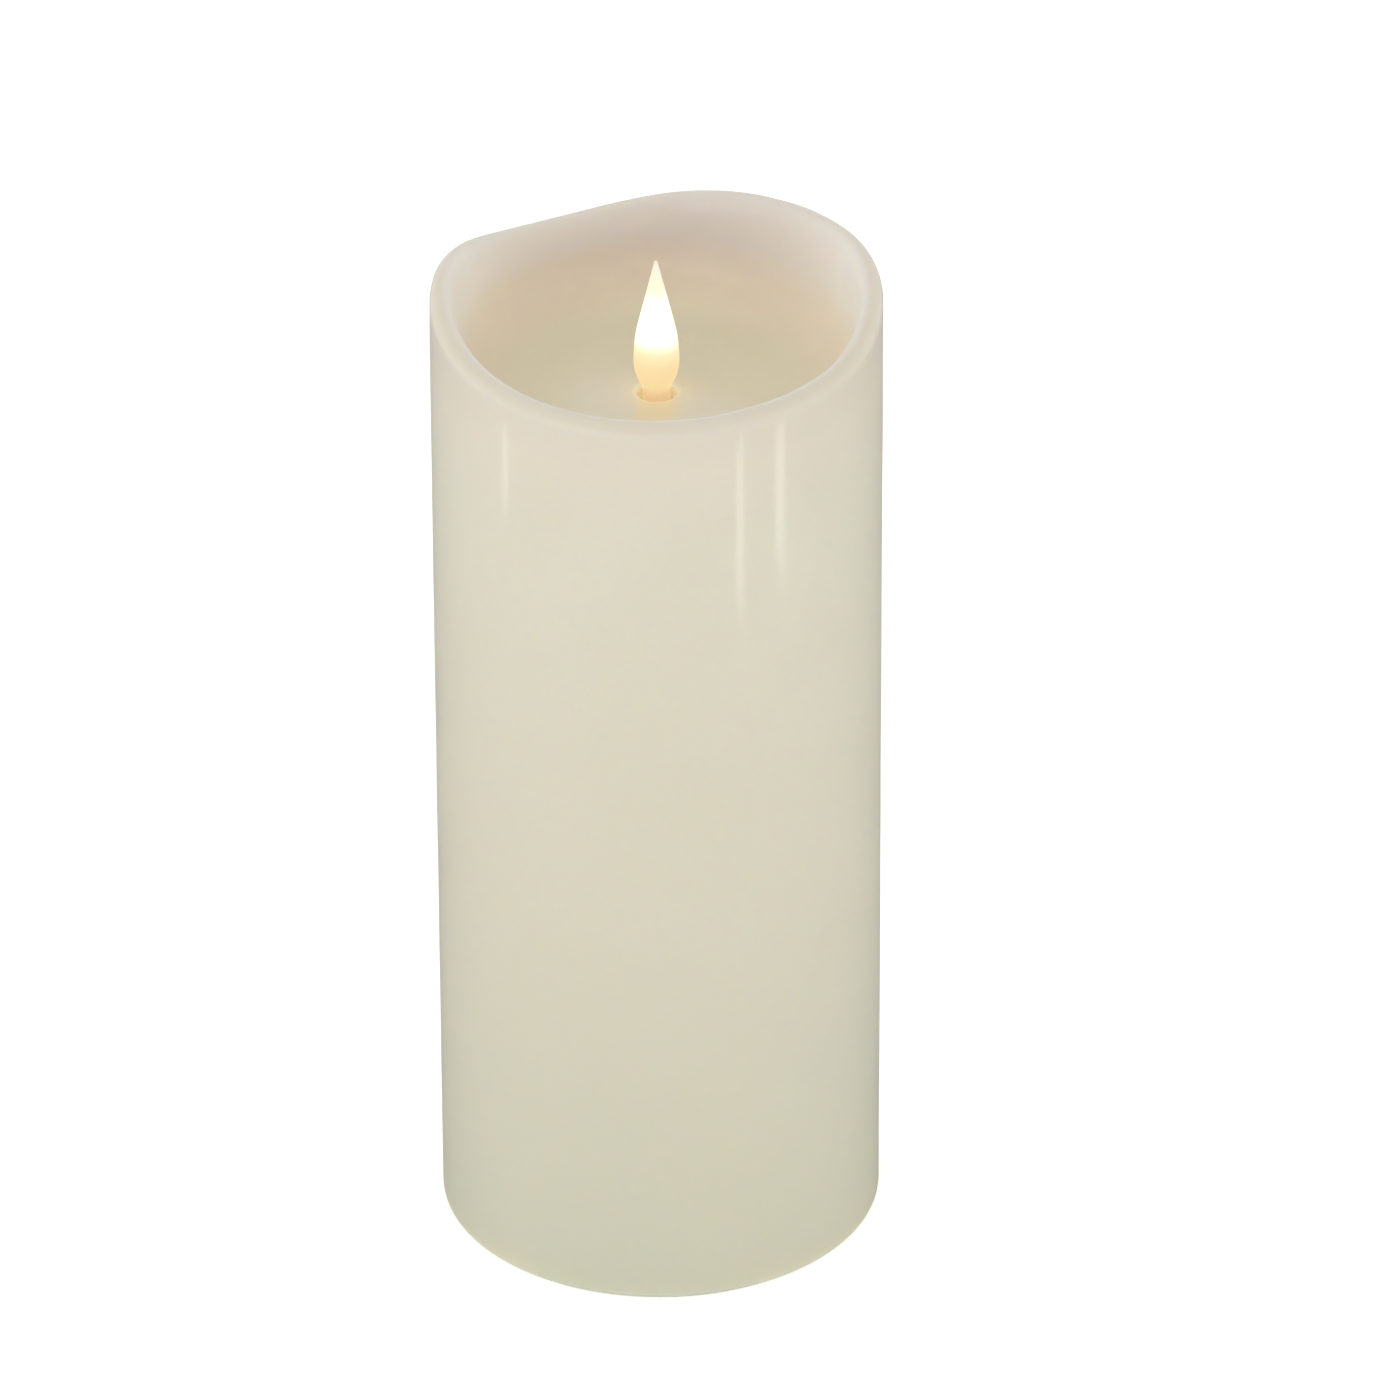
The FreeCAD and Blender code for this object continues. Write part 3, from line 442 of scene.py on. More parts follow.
def tone(red, green, blue):
    """A colour given as it looks on a screen, from 0 to 255, turned into light."""
    values = [value / 255 for value in (red, green, blue)]
    return tuple(value / 12.92 if value < 0.04045 else ((value + 0.055) / 1.055) ** 2.4 for value in values)


def object_place(tree):
    """Object coordinates, in metres."""
    return put(tree, "ShaderNodeTexCoord").outputs["Object"]


def noise(tree, place, scale, detail=2.0):
    """Cloudy noise with a number of lumps to the metre."""
    inputs = {"Vector": place, "Scale": scale, "Detail": detail}
    return put(tree, "ShaderNodeTexNoise", inputs).outputs["Fac"]


def spread(tree, value, low, high, to_low, to_high, kind="LINEAR"):
    """Map one range of a number onto another, and stop at its ends."""
    inputs = {0: value, 1: low, 2: high, 3: to_low, 4: to_high}
    return put(tree, "ShaderNodeMapRange", inputs, clamp=True, interpolation_type=kind).outputs[0]


def mixed(tree, factor, first, second):
    """Two colours mixed by a number."""
    node = put(tree, "ShaderNodeMix", data_type="RGBA")
    for key, value in ((MIX_FACTOR, factor), (MIX_FIRST, first), (MIX_SECOND, second)):
        if isinstance(value, bpy.types.NodeSocket):
            tree.links.new(value, node.inputs[key])
        else:
            node.inputs[key].default_value = value if key == MIX_FACTOR else (*value, 1.0)
    return node.outputs[MIX_RESULT]


def relief(tree, height, depth):
    """A bump whose full height is a real depth."""
    inputs = {"Height": height, "Distance": depth, "Strength": 1.0}
    return put(tree, "ShaderNodeBump", inputs).outputs["Normal"]


# %% Wax finish
SPECK_EDGE = (0.008, 0.014)
SPECK_CHANCE = (0.86, 0.87)
WELL_EDGE = (33.2 * MM, 36.2 * MM)
WELL_FADE = (1.5 * MM, 12.0 * MM)
# Where the painted shade on the back wall of the well begins and where it is full.
PAINTED_BACK_SHADE = (12.0 * MM, 34.0 * MM)
STEM_GLOW = (3.0 * MM, 10.0 * MM)
GLOSSY_FLOOR = (9.0 * MM, 20.0 * MM)
HAND_MARKS = 0.25 * MM
BLACK = (0.0, 0.0, 0.0)


def make_wax():
    """Cloudy ivory wax with a satin skin."""
    material, tree, shader = new_material("ivory_wax")
    place = object_place(tree)
    parts = put(tree, "ShaderNodeSeparateXYZ", {0: place}).outputs
    height = spread(tree, parts["Z"], 0.0, rim_height, 0.0, 1.0)
    # Painted shade: these stops make the wax darker towards the bottom, standing in for the shade near the
    # table.
    stops = [(0.0, tone(208, 207, 187)), (0.45, tone(222, 217, 198)), (0.85, tone(228, 223, 205)),
             (0.93, tone(228, 222, 208)), (0.97, tone(222, 216, 206)), (1.0, tone(224, 218, 209))]
    cloud = spread(tree, noise(tree, place, 34.0, 3.0), 0.3, 0.7, 0.0, 0.35)
    body = mixed(tree, cloud, ramp(tree, height, stops), tone(219, 214, 190))
    specks = put(tree, "ShaderNodeTexVoronoi", {"Vector": place, "Scale": 42.0, "Randomness": 1.0})
    inside = spread(tree, specks.outputs["Distance"], *SPECK_EDGE, 1.0, 0.0)
    chosen = put(tree, "ShaderNodeSeparateColor", {0: specks.outputs["Color"]}).outputs[0]
    speck = maths(tree, "MULTIPLY", inside, spread(tree, chosen, *SPECK_CHANCE, 0.0, 0.55))
    flat = put(tree, "ShaderNodeCombineXYZ", {"X": parts["X"], "Y": parts["Y"]}).outputs[0]
    radius = put(tree, "ShaderNodeVectorMath", {0: flat}, operation="LENGTH").outputs["Value"]
    above_floor = spread(tree, parts["Z"], well_floor - 1.5 * MM, well_floor - 0.5 * MM, 0.0, 1.0)
    inside_well = maths(tree, "MULTIPLY", spread(tree, radius, *WELL_EDGE, 1.0, 0.0), above_floor)
    # Painted light in the well: the wall is painted lighter near the rim and darker towards the back, where
    # shade falls, and the floor warm, standing in for the flame's light.
    low, high = (well_floor + rise for rise in WELL_FADE)
    depth = spread(tree, parts["Z"], low, high, 1.0, 0.0)
    painted_back_shade = spread(tree, parts["Y"], *PAINTED_BACK_SHADE, 0.0, 0.8)
    wall = mixed(tree, painted_back_shade, tone(240, 237, 236), tone(212, 207, 206))
    well = mixed(tree, depth, wall, tone(238, 226, 197))
    body = mixed(tree, inside_well, body, well)
    link_into(tree, shader, Base_Color=mixed(tree, speck, body, tone(70, 62, 50)))
    shader.inputs["Subsurface Weight"].default_value = 0.75
    shader.inputs["Subsurface Radius"].default_value = (1.0, 0.72, 0.42)
    shader.inputs["Subsurface Scale"].default_value = 8.0 * MM
    shader.inputs["IOR"].default_value = 1.44
    link_into(tree, shader, Roughness=spread(tree, noise(tree, place, 60.0, 3.0), 0.3, 0.7, 0.34, 0.42))
    near_flame = spread(tree, radius, *GLOSSY_FLOOR, 1.0, 0.0, "SMOOTHSTEP")
    on_floor = maths(tree, "MULTIPLY", inside_well, near_flame)
    link_into(tree, shader, Coat_Weight=spread(tree, on_floor, 0.0, 1.0, 0.14, 1.0))
    shader.inputs["Coat Roughness"].default_value = 0.09
    shader.inputs["Coat IOR"].default_value = 2.1
    # Painted glow: an amber emission rings the lamp's stem on the well's floor, standing in for the lamp's
    # light coming through the wax.
    near_stem = spread(tree, radius, *STEM_GLOW, 1.0, 0.0)
    stops = [(0.0, BLACK), (0.45, (0.02, 0.012, 0.004)), (0.80, (0.07, 0.05, 0.02)),
             (0.90, (0.15, 0.13, 0.07)), (1.0, (0.17, 0.15, 0.08))]
    # Painted glow: a faint emission lightens the well's side walls, away from its floor and its back.
    off_floor = maths(tree, "SUBTRACT", 1.0, depth)
    lit_side = maths(tree, "MULTIPLY", off_floor, maths(tree, "SUBTRACT", 1.0, painted_back_shade))
    lit_wall = maths(tree, "MULTIPLY", lit_side, inside_well)
    painted_wall_glow = mixed(tree, lit_wall, BLACK, (0.022, 0.028, 0.024))
    glow = put(tree, "ShaderNodeVectorMath", {0: ramp(tree, near_stem, stops), 1: painted_wall_glow}).outputs[0]
    link_into(tree, shader, Emission_Color=glow)
    shader.inputs["Emission Strength"].default_value = 1.0
    grain = maths(tree, "MULTIPLY", noise(tree, place, 900.0), 0.06)
    marks = maths(tree, "ADD", noise(tree, place, 55.0, 2.0), grain)
    link_into(tree, shader, Normal=relief(tree, marks, HAND_MARKS))
    return material


IVORY_WAX = make_wax()
print("wax finish:", len(IVORY_WAX.node_tree.nodes), "nodes")

# %% [markdown]
# ## The wax
#
# The wax is a tube with a floor near its top. On the real candle it is cast, and then its rim is melted
# until it runs. The outline is turned round the axis by the tree above, and a second tree melts it: it
# lifts and drops everything near the rim by the waves, and adds a little noise where hands and heat have
# been. Sculpting would give the same look, but it would not follow the model if the rim changed.

# %% The melting tree
def make_melting_tree():
    """Turn the outline, lift the rim by its waves, and roughen the skin a little."""
    sizes = [(f"Wave {number}", "Float", 0.0) for number in range(1, WAVES + 1)]
    sizes += [(f"Turn {number}", "Float", 0.0) for number in range(1, WAVES + 1)]
    tree, given = new_tree(
        "melted_wax", ("Steps", "Int", 256), ("Rest Height", "Float", 0.16), ("Full Height", "Float", 0.172),
        ("Unevenness", "Float", 0.0002), ("Lump Scale", "Float", 45.0), ("Seed", "Float", 7.0), *sizes,
        ("Material", "Material", None))
    turned = put(tree, "GeometryNodeGroup", node_tree=TURNED)
    for name in ("Geometry", "Steps", "Material"):
        tree.links.new(given[name], turned.inputs[name])
    where = put(tree, "GeometryNodeInputPosition").outputs[0]
    parts = put(tree, "ShaderNodeSeparateXYZ", {0: where}).outputs
    turn = maths(tree, "ARCTAN2", parts["X"], maths(tree, "MULTIPLY", parts["Y"], -1.0))
    lift = 0.0
    for number in range(1, WAVES + 1):
        phase = maths(tree, "MULTIPLY", maths(tree, "SUBTRACT", turn, given[f"Turn {number}"]), float(number))
        wave = maths(tree, "MULTIPLY", maths(tree, "COSINE", phase), given[f"Wave {number}"])
        lift = maths(tree, "ADD", wave, lift)
    share = put(tree, "ShaderNodeMapRange", {0: parts["Z"], 1: given["Rest Height"], 2: given["Full Height"]},
                interpolation_type="SMOOTHSTEP").outputs[0]
    risen = put(tree, "ShaderNodeCombineXYZ", {"Z": maths(tree, "MULTIPLY", lift, share)})
    lifted = put(tree, "GeometryNodeSetPosition", {"Geometry": turned.outputs[0], "Offset": risen.outputs[0]})
    lumps = put(tree, "ShaderNodeTexNoise", {"Scale": given["Lump Scale"], "W": given["Seed"], "Detail": 1.5},
                noise_dimensions="4D").outputs["Fac"]
    depth = maths(tree, "MULTIPLY", maths(tree, "SUBTRACT", lumps, 0.5), given["Unevenness"])
    melted = maths(tree, "MULTIPLY", depth, maths(tree, "ADD", share, 0.35))
    normal = put(tree, "GeometryNodeInputNormal").outputs[0]
    push = put(tree, "ShaderNodeVectorMath", {0: normal, "Scale": melted}, operation="SCALE").outputs[0]
    uneven = put(tree, "GeometryNodeSetPosition", {"Geometry": lifted.outputs[0], "Offset": push})
    finish_tree(tree, uneven.outputs[0], given["Material"])
    return tree


MELTED = make_melting_tree()
print("melting tree:", len(MELTED.nodes), "nodes")


# %% The wax shell
FOOT_ROUND = 1.2 * MM
WELL_DEPTH = rim_height - well_floor
BOWL_WIDTH = 13.0 * MM
BOWL_HEIGHT = 0.54 * WELL_DEPTH
BOWL_STEPS = 20
FLARE_HEIGHT = 0.40 * WELL_DEPTH
FLARE_STEPS = 18
FLAME_HOLE = 3.2 * MM
HOLE_LIP = 0.5 * MM
CREST_BEND = 2.5 * MM
FLARE_WIDTH = WAX_WALL - CREST_BEND
WAX_FLOOR = 5.0 * MM
MELT_DEPTH = 14.0 * MM
FINE_DEPTH = 16.0 * MM
UNEVENNESS = 0.5 * MM


def wax_outline():
    """Half of the wax's section: up the outside, over the rim, down the well, and back through the cavity."""
    outer = wax_radius
    inner = wax_radius - WAX_WALL
    crest = rim_height - CREST_BEND
    floor = well_floor
    ceiling = well_floor - WAX_FLOOR
    corner = floor + BOWL_HEIGHT
    lip = FLAME_HOLE + HOLE_LIP
    points = run((inner, 0.0), (outer - FOOT_ROUND, 0.0), 1.2 * MM)
    points += bend((outer - FOOT_ROUND, FOOT_ROUND), FOOT_ROUND, -90, 0, 0.3 * MM)
    points += run((outer, FOOT_ROUND), (outer, crest - FINE_DEPTH), 3.0 * MM)
    points += run((outer, crest - FINE_DEPTH), (outer, crest), 1.0 * MM)
    points += bend((outer - CREST_BEND, crest), CREST_BEND, 0, 90, 0.3 * MM)
    flare = [math.pi / 2 * step / FLARE_STEPS for step in range(FLARE_STEPS)]
    points += [(inner + FLARE_WIDTH * (1 - math.sin(turn)), rim_height - FLARE_HEIGHT * (1 - math.cos(turn)))
               for turn in flare]
    points += run((inner, rim_height - FLARE_HEIGHT), (inner, corner), 0.8 * MM)
    bowl = [math.pi / 2 * step / BOWL_STEPS for step in range(BOWL_STEPS)]
    points += [(inner - BOWL_WIDTH * (1 - math.cos(turn)), corner - BOWL_HEIGHT * math.sin(turn))
               for turn in bowl]
    points += run((inner - BOWL_WIDTH, floor), (lip, floor), 1.1 * MM)
    points += bend((lip, floor - HOLE_LIP), HOLE_LIP, 90, 180, 0.2 * MM)
    points += run((FLAME_HOLE, floor - HOLE_LIP), (FLAME_HOLE, ceiling), 1.5 * MM)
    points += run((FLAME_HOLE, ceiling), (inner, ceiling), 3.0 * MM)
    points += run((inner, ceiling), (inner, 0.0), 7.0 * MM)
    return points + points[:1]


wax_inputs = {f"wave_{number}": height for number, (height, turn) in enumerate(rim_waves, start=1)}
wax_inputs.update({f"turn_{number}": turn for number, (height, turn) in enumerate(rim_waves, start=1)})
wax = grow("wax_pillar", MELTED, outline_mesh("wax_outline", wax_outline()), steps=288, material=IVORY_WAX,
           rest_height=rim_height - MELT_DEPTH, full_height=rim_height - CREST_BEND, unevenness=UNEVENNESS,
           **wax_inputs)
smooth(wax, 60.0)
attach(wax, "candle")
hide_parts("wax_shell")
report(wax)

# %% [markdown]
# ## The flame
#
# The flame is one satin moulding, milky and lit by a lamp in its foot. The light gathers in its belly and
# thins towards the tip and the neck, and it turns from white to amber where it has more plastic to go
# through. A glass shader with a lamp inside would be honest but noisy. A moulding that glows by its height
# looks the same and stays clean.

# %% Flame finish
def make_flame_finish():
    """Milky plastic that glows white in the middle and amber at its foot."""
    material, tree, shader = new_material("lit_flame")
    place = object_place(tree)
    height = put(tree, "ShaderNodeSeparateXYZ", {0: place}).outputs["Z"]
    uneven = maths(tree, "MULTIPLY", maths(tree, "SUBTRACT", noise(tree, place, 120.0), 0.5), 0.04)
    along = maths(tree, "ADD", spread(tree, height, well_floor, flame_high.z, 0.0, 1.0), uneven)
    stops = [(0.0, (0.26, 0.18, 0.10)), (0.08, (0.36, 0.28, 0.14)), (0.19, (0.37, 0.29, 0.15)),
             (0.26, (0.38, 0.30, 0.15)), (0.36, (0.44, 0.38, 0.24)), (0.47, (1.0, 0.88, 0.66)),
             (0.62, (1.0, 0.88, 0.66)), (0.80, (0.45, 0.42, 0.32)), (0.93, (0.40, 0.37, 0.31)),
             (1.0, (0.34, 0.31, 0.28))]
    link_into(tree, shader, Emission_Color=ramp(tree, along, stops))
    shader.inputs["Emission Strength"].default_value = 1.7
    milk = mixed(tree, noise(tree, place, 300.0), tone(180, 160, 130), tone(190, 172, 144))
    link_into(tree, shader, Base_Color=milk)
    link_into(tree, shader, Roughness=spread(tree, noise(tree, place, 500.0), 0.3, 0.7, 0.38, 0.5))
    link_into(tree, shader, Normal=relief(tree, noise(tree, place, 700.0, 3.0), 0.02 * MM))
    return material


LIT_FLAME = make_flame_finish()
print("flame finish:", len(LIT_FLAME.node_tree.nodes), "nodes")

# %% Flame shape
FLAME_BELLY = 6.2 * MM
FLANK = 30.0 * MM
BULB = 8.6 * MM
NECK = 2.3 * MM
NECK_CURVE = 4.1 * MM
TIP_ROUND = 0.3 * MM
LAMP_BORE = 1.75 * MM
LAMP_TOP = 10.2 * MM


def flame_outline():
    """Half of the flame's section, from its tip down the outside and back up the bore for the lamp."""
    widest = flame_high.x
    belly = well_floor + FLAME_BELLY
    top = flame_high.z
    rise = top - belly
    inset = FLANK + TIP_ROUND - widest
    slope = math.degrees(math.asin(FLANK / math.hypot(rise, inset)) - math.atan2(inset, rise))
    lean = math.radians(slope)
    flank_top = (widest - FLANK + FLANK * math.cos(lean), belly + FLANK * math.sin(lean))
    turn = math.degrees(math.acos((BULB + NECK_CURVE - (widest - NECK)) / (BULB + NECK_CURVE)))
    neck_end = belly - (BULB + NECK_CURVE) * math.sin(math.radians(turn))
    bore_top = well_floor + LAMP_TOP
    points = bend((0.0, top - TIP_ROUND), TIP_ROUND, 90, 10, 0.06 * MM)
    points += run((TIP_ROUND, top - TIP_ROUND), flank_top, 0.5 * MM)
    points += bend((widest - FLANK, belly), FLANK, slope, 0, 0.5 * MM)
    points += bend((widest - BULB, belly), BULB, 0, -turn, 0.4 * MM)
    points += bend((NECK + NECK_CURVE, neck_end), NECK_CURVE, 180 - turn, 180, 0.3 * MM)
    points += run((NECK, neck_end), (NECK, flame_low.z), 1.5 * MM)
    points += run((NECK, flame_low.z), (LAMP_BORE, flame_low.z), 0.3 * MM)
    points += run((LAMP_BORE, flame_low.z), (LAMP_BORE, bore_top), 2.0 * MM)
    points += run((LAMP_BORE, bore_top), (0.0, bore_top), 0.8 * MM)
    points.append((0.0, bore_top))
    return points[::-1]


flame = grow("flame_moulding", TURNED, outline_mesh("flame_outline", flame_outline()), steps=96,
             material=LIT_FLAME)
smooth(flame, 50.0)
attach(flame, "flame")
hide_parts("flame_tip")
report(flame)

# %% [markdown]
# ## Finishes for the plastics and metals
#
# Moulded plastic is never one flat colour: its tone drifts a little, its gloss is uneven, and spark erosion
# leaves a fine grain. Plated steel has the same kinds of unevenness at other sizes. So one recipe with a
# few numbers makes most of them: a drift of tone from slow noise, an uneven gloss, and a relief from fine
# noise.

# %% One recipe for plain finishes
def plain_finish(name, light, dark, gloss, grain, depth, metal=0.0, stretch=(1.0, 1.0, 1.0)):
    """Two near tones, a range of roughness, and a grain with its lumps to the metre and its depth in mm."""
    material, tree, shader = new_material(name)
    place = put(tree, "ShaderNodeMapping", {"Vector": object_place(tree), "Scale": stretch}).outputs[0]
    drift = spread(tree, noise(tree, place, grain / 12, 3.0), 0.32, 0.68, 0.0, 1.0)
    link_into(tree, shader, Base_Color=mixed(tree, drift, tone(*light), tone(*dark)))
    link_into(tree, shader, Roughness=spread(tree, noise(tree, place, grain / 3), 0.3, 0.7, *gloss))
    link_into(tree, shader, Normal=relief(tree, noise(tree, place, grain, 3.0), depth * MM))
    shader.inputs["Metallic"].default_value = metal
    return material


PLAIN_FINISHES = {
    "ivory_moulding": ((232, 229, 216), (229, 226, 212), (0.36, 0.5), 1500, 0.02),
    "tray_moulding": ((230, 227, 213), (227, 223, 209), (0.42, 0.58), 2200, 0.04),
    "acetal": ((240, 239, 232), (232, 230, 221), (0.24, 0.34), 900, 0.008),
    "black_moulding": ((38, 38, 40), (27, 27, 29), (0.3, 0.46), 2500, 0.015),
    "switch_moulding": ((62, 62, 66), (46, 46, 50), (0.34, 0.5), 2500, 0.02),
    "ceramic": ((56, 57, 62), (40, 41, 45), (0.45, 0.6), 4000, 0.01),
    "zinc_plate": ((205, 205, 200), (176, 178, 178), (0.22, 0.4), 1800, 0.01, 1.0),
    "spring_wire": ((214, 214, 212), (180, 181, 182), (0.16, 0.3), 2600, 0.006, 1.0),
    "nickel_strip": ((222, 218, 206), (190, 187, 178), (0.14, 0.34), 1400, 0.006, 1.0, (1.0, 9.0, 1.0)),
    "tinned_wire": ((216, 217, 218), (186, 188, 190), (0.2, 0.36), 3000, 0.008, 1.0),
    "vinyl_red": ((176, 24, 22), (150, 16, 16), (0.3, 0.42), 1800, 0.01),
    "vinyl_black": ((34, 34, 36), (22, 22, 24), (0.3, 0.42), 1800, 0.01),
    "vinyl_yellow": ((222, 176, 40), (204, 156, 26), (0.3, 0.42), 1800, 0.01),
    "vinyl_white": ((226, 226, 222), (212, 211, 206), (0.3, 0.42), 1800, 0.01),
}
FINISHES = {name: plain_finish(name, *numbers) for name, numbers in PLAIN_FINISHES.items()}
print("plain finishes:", len(FINISHES))

# %% [markdown]
# A few finishes need more than the recipe. Hot glue is cloudy and lets light in, the lamp is clear plastic
# with a glowing chip inside, and the circuit board has copper under its green lacquer: the tracks stand up
# a hair and look paler.

# %% Glue, lamp and board
def make_glue():
    """Cloudy hot glue with small bubbles."""
    material, tree, shader = new_material("hot_glue")
    place = object_place(tree)
    bubbles = put(tree, "ShaderNodeTexVoronoi", {"Vector": place, "Scale": 700.0}).outputs["Distance"]
    cloudy = mixed(tree, noise(tree, place, 160.0, 3.0), tone(236, 231, 210), tone(214, 206, 178))
    link_into(tree, shader, Base_Color=cloudy)
    link_into(tree, shader, Roughness=spread(tree, bubbles, 0.0, 0.6, 0.18, 0.34))
    link_into(tree, shader, Normal=relief(tree, noise(tree, place, 260.0, 2.0), 0.12 * MM))
    shader.inputs["Subsurface Weight"].default_value = 0.4
    shader.inputs["Subsurface Radius"].default_value = (1.0, 0.8, 0.5)
    shader.inputs["Subsurface Scale"].default_value = 2.0 * MM
    return material


def make_lamp_lens():
    """The lamp's lens: warm, glowing most where the chip sits, low in the lens."""
    material, tree, shader = new_material("warm_lens")
    place = object_place(tree)
    low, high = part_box("led_lamp")
    height = put(tree, "ShaderNodeSeparateXYZ", {0: place}).outputs["Z"]
    along = spread(tree, height, low.z, high.z, 0.0, 1.0)
    stops = [(0.0, (0.5, 0.36, 0.12)), (0.3, (1.0, 0.86, 0.5)), (0.6, (1.0, 0.92, 0.66)),
             (1.0, (0.8, 0.68, 0.42))]
    link_into(tree, shader, Emission_Color=ramp(tree, along, stops))
    shader.inputs["Emission Strength"].default_value = 1.6
    warm = mixed(tree, noise(tree, place, 900.0), tone(250, 240, 205), tone(244, 230, 190))
    link_into(tree, shader, Base_Color=warm)
    link_into(tree, shader, Roughness=spread(tree, noise(tree, place, 1200.0), 0.3, 0.7, 0.06, 0.14))
    return material


def make_board_finish():
    """Green lacquer, paler and raised where it lies over copper tracks."""
    material, tree, shader = new_material("green_board")
    place = object_place(tree)
    islands = put(tree, "ShaderNodeTexVoronoi", {"Vector": place, "Scale": 210.0, "Randomness": 0.35},
                  distance="MANHATTAN").outputs["Distance"]
    track = spread(tree, islands, 0.30, 0.34, 0.0, 1.0)
    lacquer = mixed(tree, track, tone(24, 92, 52), tone(38, 118, 66))
    weave = noise(tree, place, 1600.0, 2.0)
    woven = mixed(tree, maths(tree, "MULTIPLY", weave, 0.3), lacquer, tone(18, 70, 40))
    link_into(tree, shader, Base_Color=woven)
    link_into(tree, shader, Roughness=spread(tree, weave, 0.3, 0.7, 0.24, 0.38))
    raised = maths(tree, "ADD", track, maths(tree, "MULTIPLY", weave, 0.15))
    link_into(tree, shader, Normal=relief(tree, raised, 0.04 * MM))
    return material


FINISHES["hot_glue"] = make_glue()
FINISHES["warm_lens"] = make_lamp_lens()
FINISHES["green_board"] = make_board_finish()
print("all finishes:", sorted(FINISHES))

# %% [markdown]
# ## The pieces that keep their shape
#
# The plastic core, the tray, the door and the switches are already the right shape in the model. Their
# meshes are left alone, and only the finish in their material slots changes.

# %% A finish for every carried-over piece
KEPT_FINISHES = {
    "core_housing": "ivory_moulding", "battery_tray": "tray_moulding", "battery_door": "tray_moulding",
    "guide_bush": "acetal", "flame_plunger": "acetal", "push_switch_button": "acetal",
    "wire_connector": "acetal", "push_switch_body": "black_moulding", "timer_chip": "black_moulding",
    "capacitor": "black_moulding", "slide_switch_knob": "black_moulding",
    "slide_switch_body": "switch_moulding", "resistors": "ceramic", "control_board": "green_board",
    "led_lamp": "warm_lens", "glue_ring": "hot_glue",
    "tray_screws": "zinc_plate", "board_screws": "zinc_plate", "slide_screws": "zinc_plate",
    "door_hinge_pin": "zinc_plate", "positive_contact": "nickel_strip", "negative_contact": "nickel_strip",
    "bridge_contact": "nickel_strip", "battery_wire_red": "vinyl_red", "battery_wire_black": "vinyl_black",
    "switch_wire_yellow": "vinyl_yellow", "switch_wire_white": "vinyl_white",
}


def paint(piece, material):
    """Put one material in a piece's slots."""
    slots = piece.data.materials
    if not slots:
        slots.append(material)
    for index in range(len(slots)):
        slots[index] = material


for node, finish in KEPT_FINISHES.items():
    paint(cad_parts[node], FINISHES[finish])
print("kept pieces with a finish:", len(KEPT_FINISHES))

# %% [markdown]
# ## The springs
#
# A compression spring is a wire wound on a helix, with its last half turns closed so that it stands square.
# The Screw modifier winds a circle along an axis, but it can't close the ends. In Geometry Nodes the helix
# is a curve, so its ends are flattened by a map of its height before the wire's section is swept along it.

# %% The winding tree
def make_winding_tree():
    """A coil spring that stands on a height, with closed ends."""
    tree, given = new_tree(
        "wound_spring", ("Radius", "Float", 0.0057), ("Wire", "Float", 0.0005), ("Turns", "Float", 5.0),
        ("Length", "Float", 0.0145), ("Centre", "Vector", None), ("Material", "Material", None))
    helix = put(tree, "GeometryNodeCurveSpiral", {
        "Resolution": 36, "Rotations": given["Turns"], "Start Radius": given["Radius"],
        "End Radius": given["Radius"], "Height": given["Length"]}).outputs[0]
    share = put(tree, "GeometryNodeSplineParameter").outputs["Factor"]
    closed = maths(tree, "DIVIDE", 0.5, given["Turns"])
    opened = maths(tree, "SUBTRACT", 1.0, closed)
    half_wire = maths(tree, "DIVIDE", given["Wire"], 2.0)
    top = maths(tree, "SUBTRACT", given["Length"], half_wire)
    rise = put(tree, "ShaderNodeMapRange", {0: share, 1: closed, 2: opened, 3: half_wire, 4: top}).outputs[0]
    where = put(tree, "GeometryNodeInputPosition").outputs[0]
    parts = put(tree, "ShaderNodeSeparateXYZ", {0: where}).outputs
    place = put(tree, "ShaderNodeCombineXYZ", {"X": parts["X"], "Y": parts["Y"], "Z": rise}).outputs[0]
    wound = put(tree, "GeometryNodeSetPosition", {
        "Geometry": helix, "Position": place, "Offset": given["Centre"]}).outputs[0]
    section = put(tree, "GeometryNodeCurvePrimitiveCircle", {"Resolution": 12, "Radius": half_wire})
    wire = put(tree, "GeometryNodeCurveToMesh", {
        "Curve": wound, "Profile Curve": section.outputs["Curve"], "Fill Caps": True})
    finish_tree(tree, wire.outputs[0], given["Material"])
    return tree


WOUND = make_winding_tree()
print("winding tree:", len(WOUND.nodes), "nodes")


# %% Three springs
def wind(name, node, wire, turns):
    """A spring in the space of its node."""
    low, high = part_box(node)
    centre = ((low.x + high.x) / 2, (low.y + high.y) / 2, low.z)
    radius = (high.x - low.x) / 2 - wire / 2
    piece = grow(name, WOUND, radius=radius, wire=wire, turns=turns, length=high.z - low.z, centre=centre,
                 material=FINISHES["spring_wire"])
    smooth(piece, 60.0)
    return piece


return_coil = wind("return_coil", "return_spring", 0.5 * MM, 5.0)
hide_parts("return_spring")
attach(return_coil, "candle")
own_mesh(return_coil)

tray_coil = wind("tray_coil", "negative_spring", 0.8 * MM, 2.5)
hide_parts("negative_spring")
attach(tray_coil, "candle")

door_coil = wind("door_coil", "door_spring", 0.8 * MM, 3.5)
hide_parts("door_spring")
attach(door_coil, "battery_door")
for coil in (return_coil, tray_coil, door_coil):
    report(coil)

# %% [markdown]
# ## The lamp's leads
#
# Two thin tinned leads run from the board up the plunger to the lamp. Above the board they give a little
# when the flame is pressed, and inside the plunger they go with it. A copy of each lead's mesh, with its
# loose triangles merged, is shaded smooth, given a tinned finish, and has its placing baked into it.

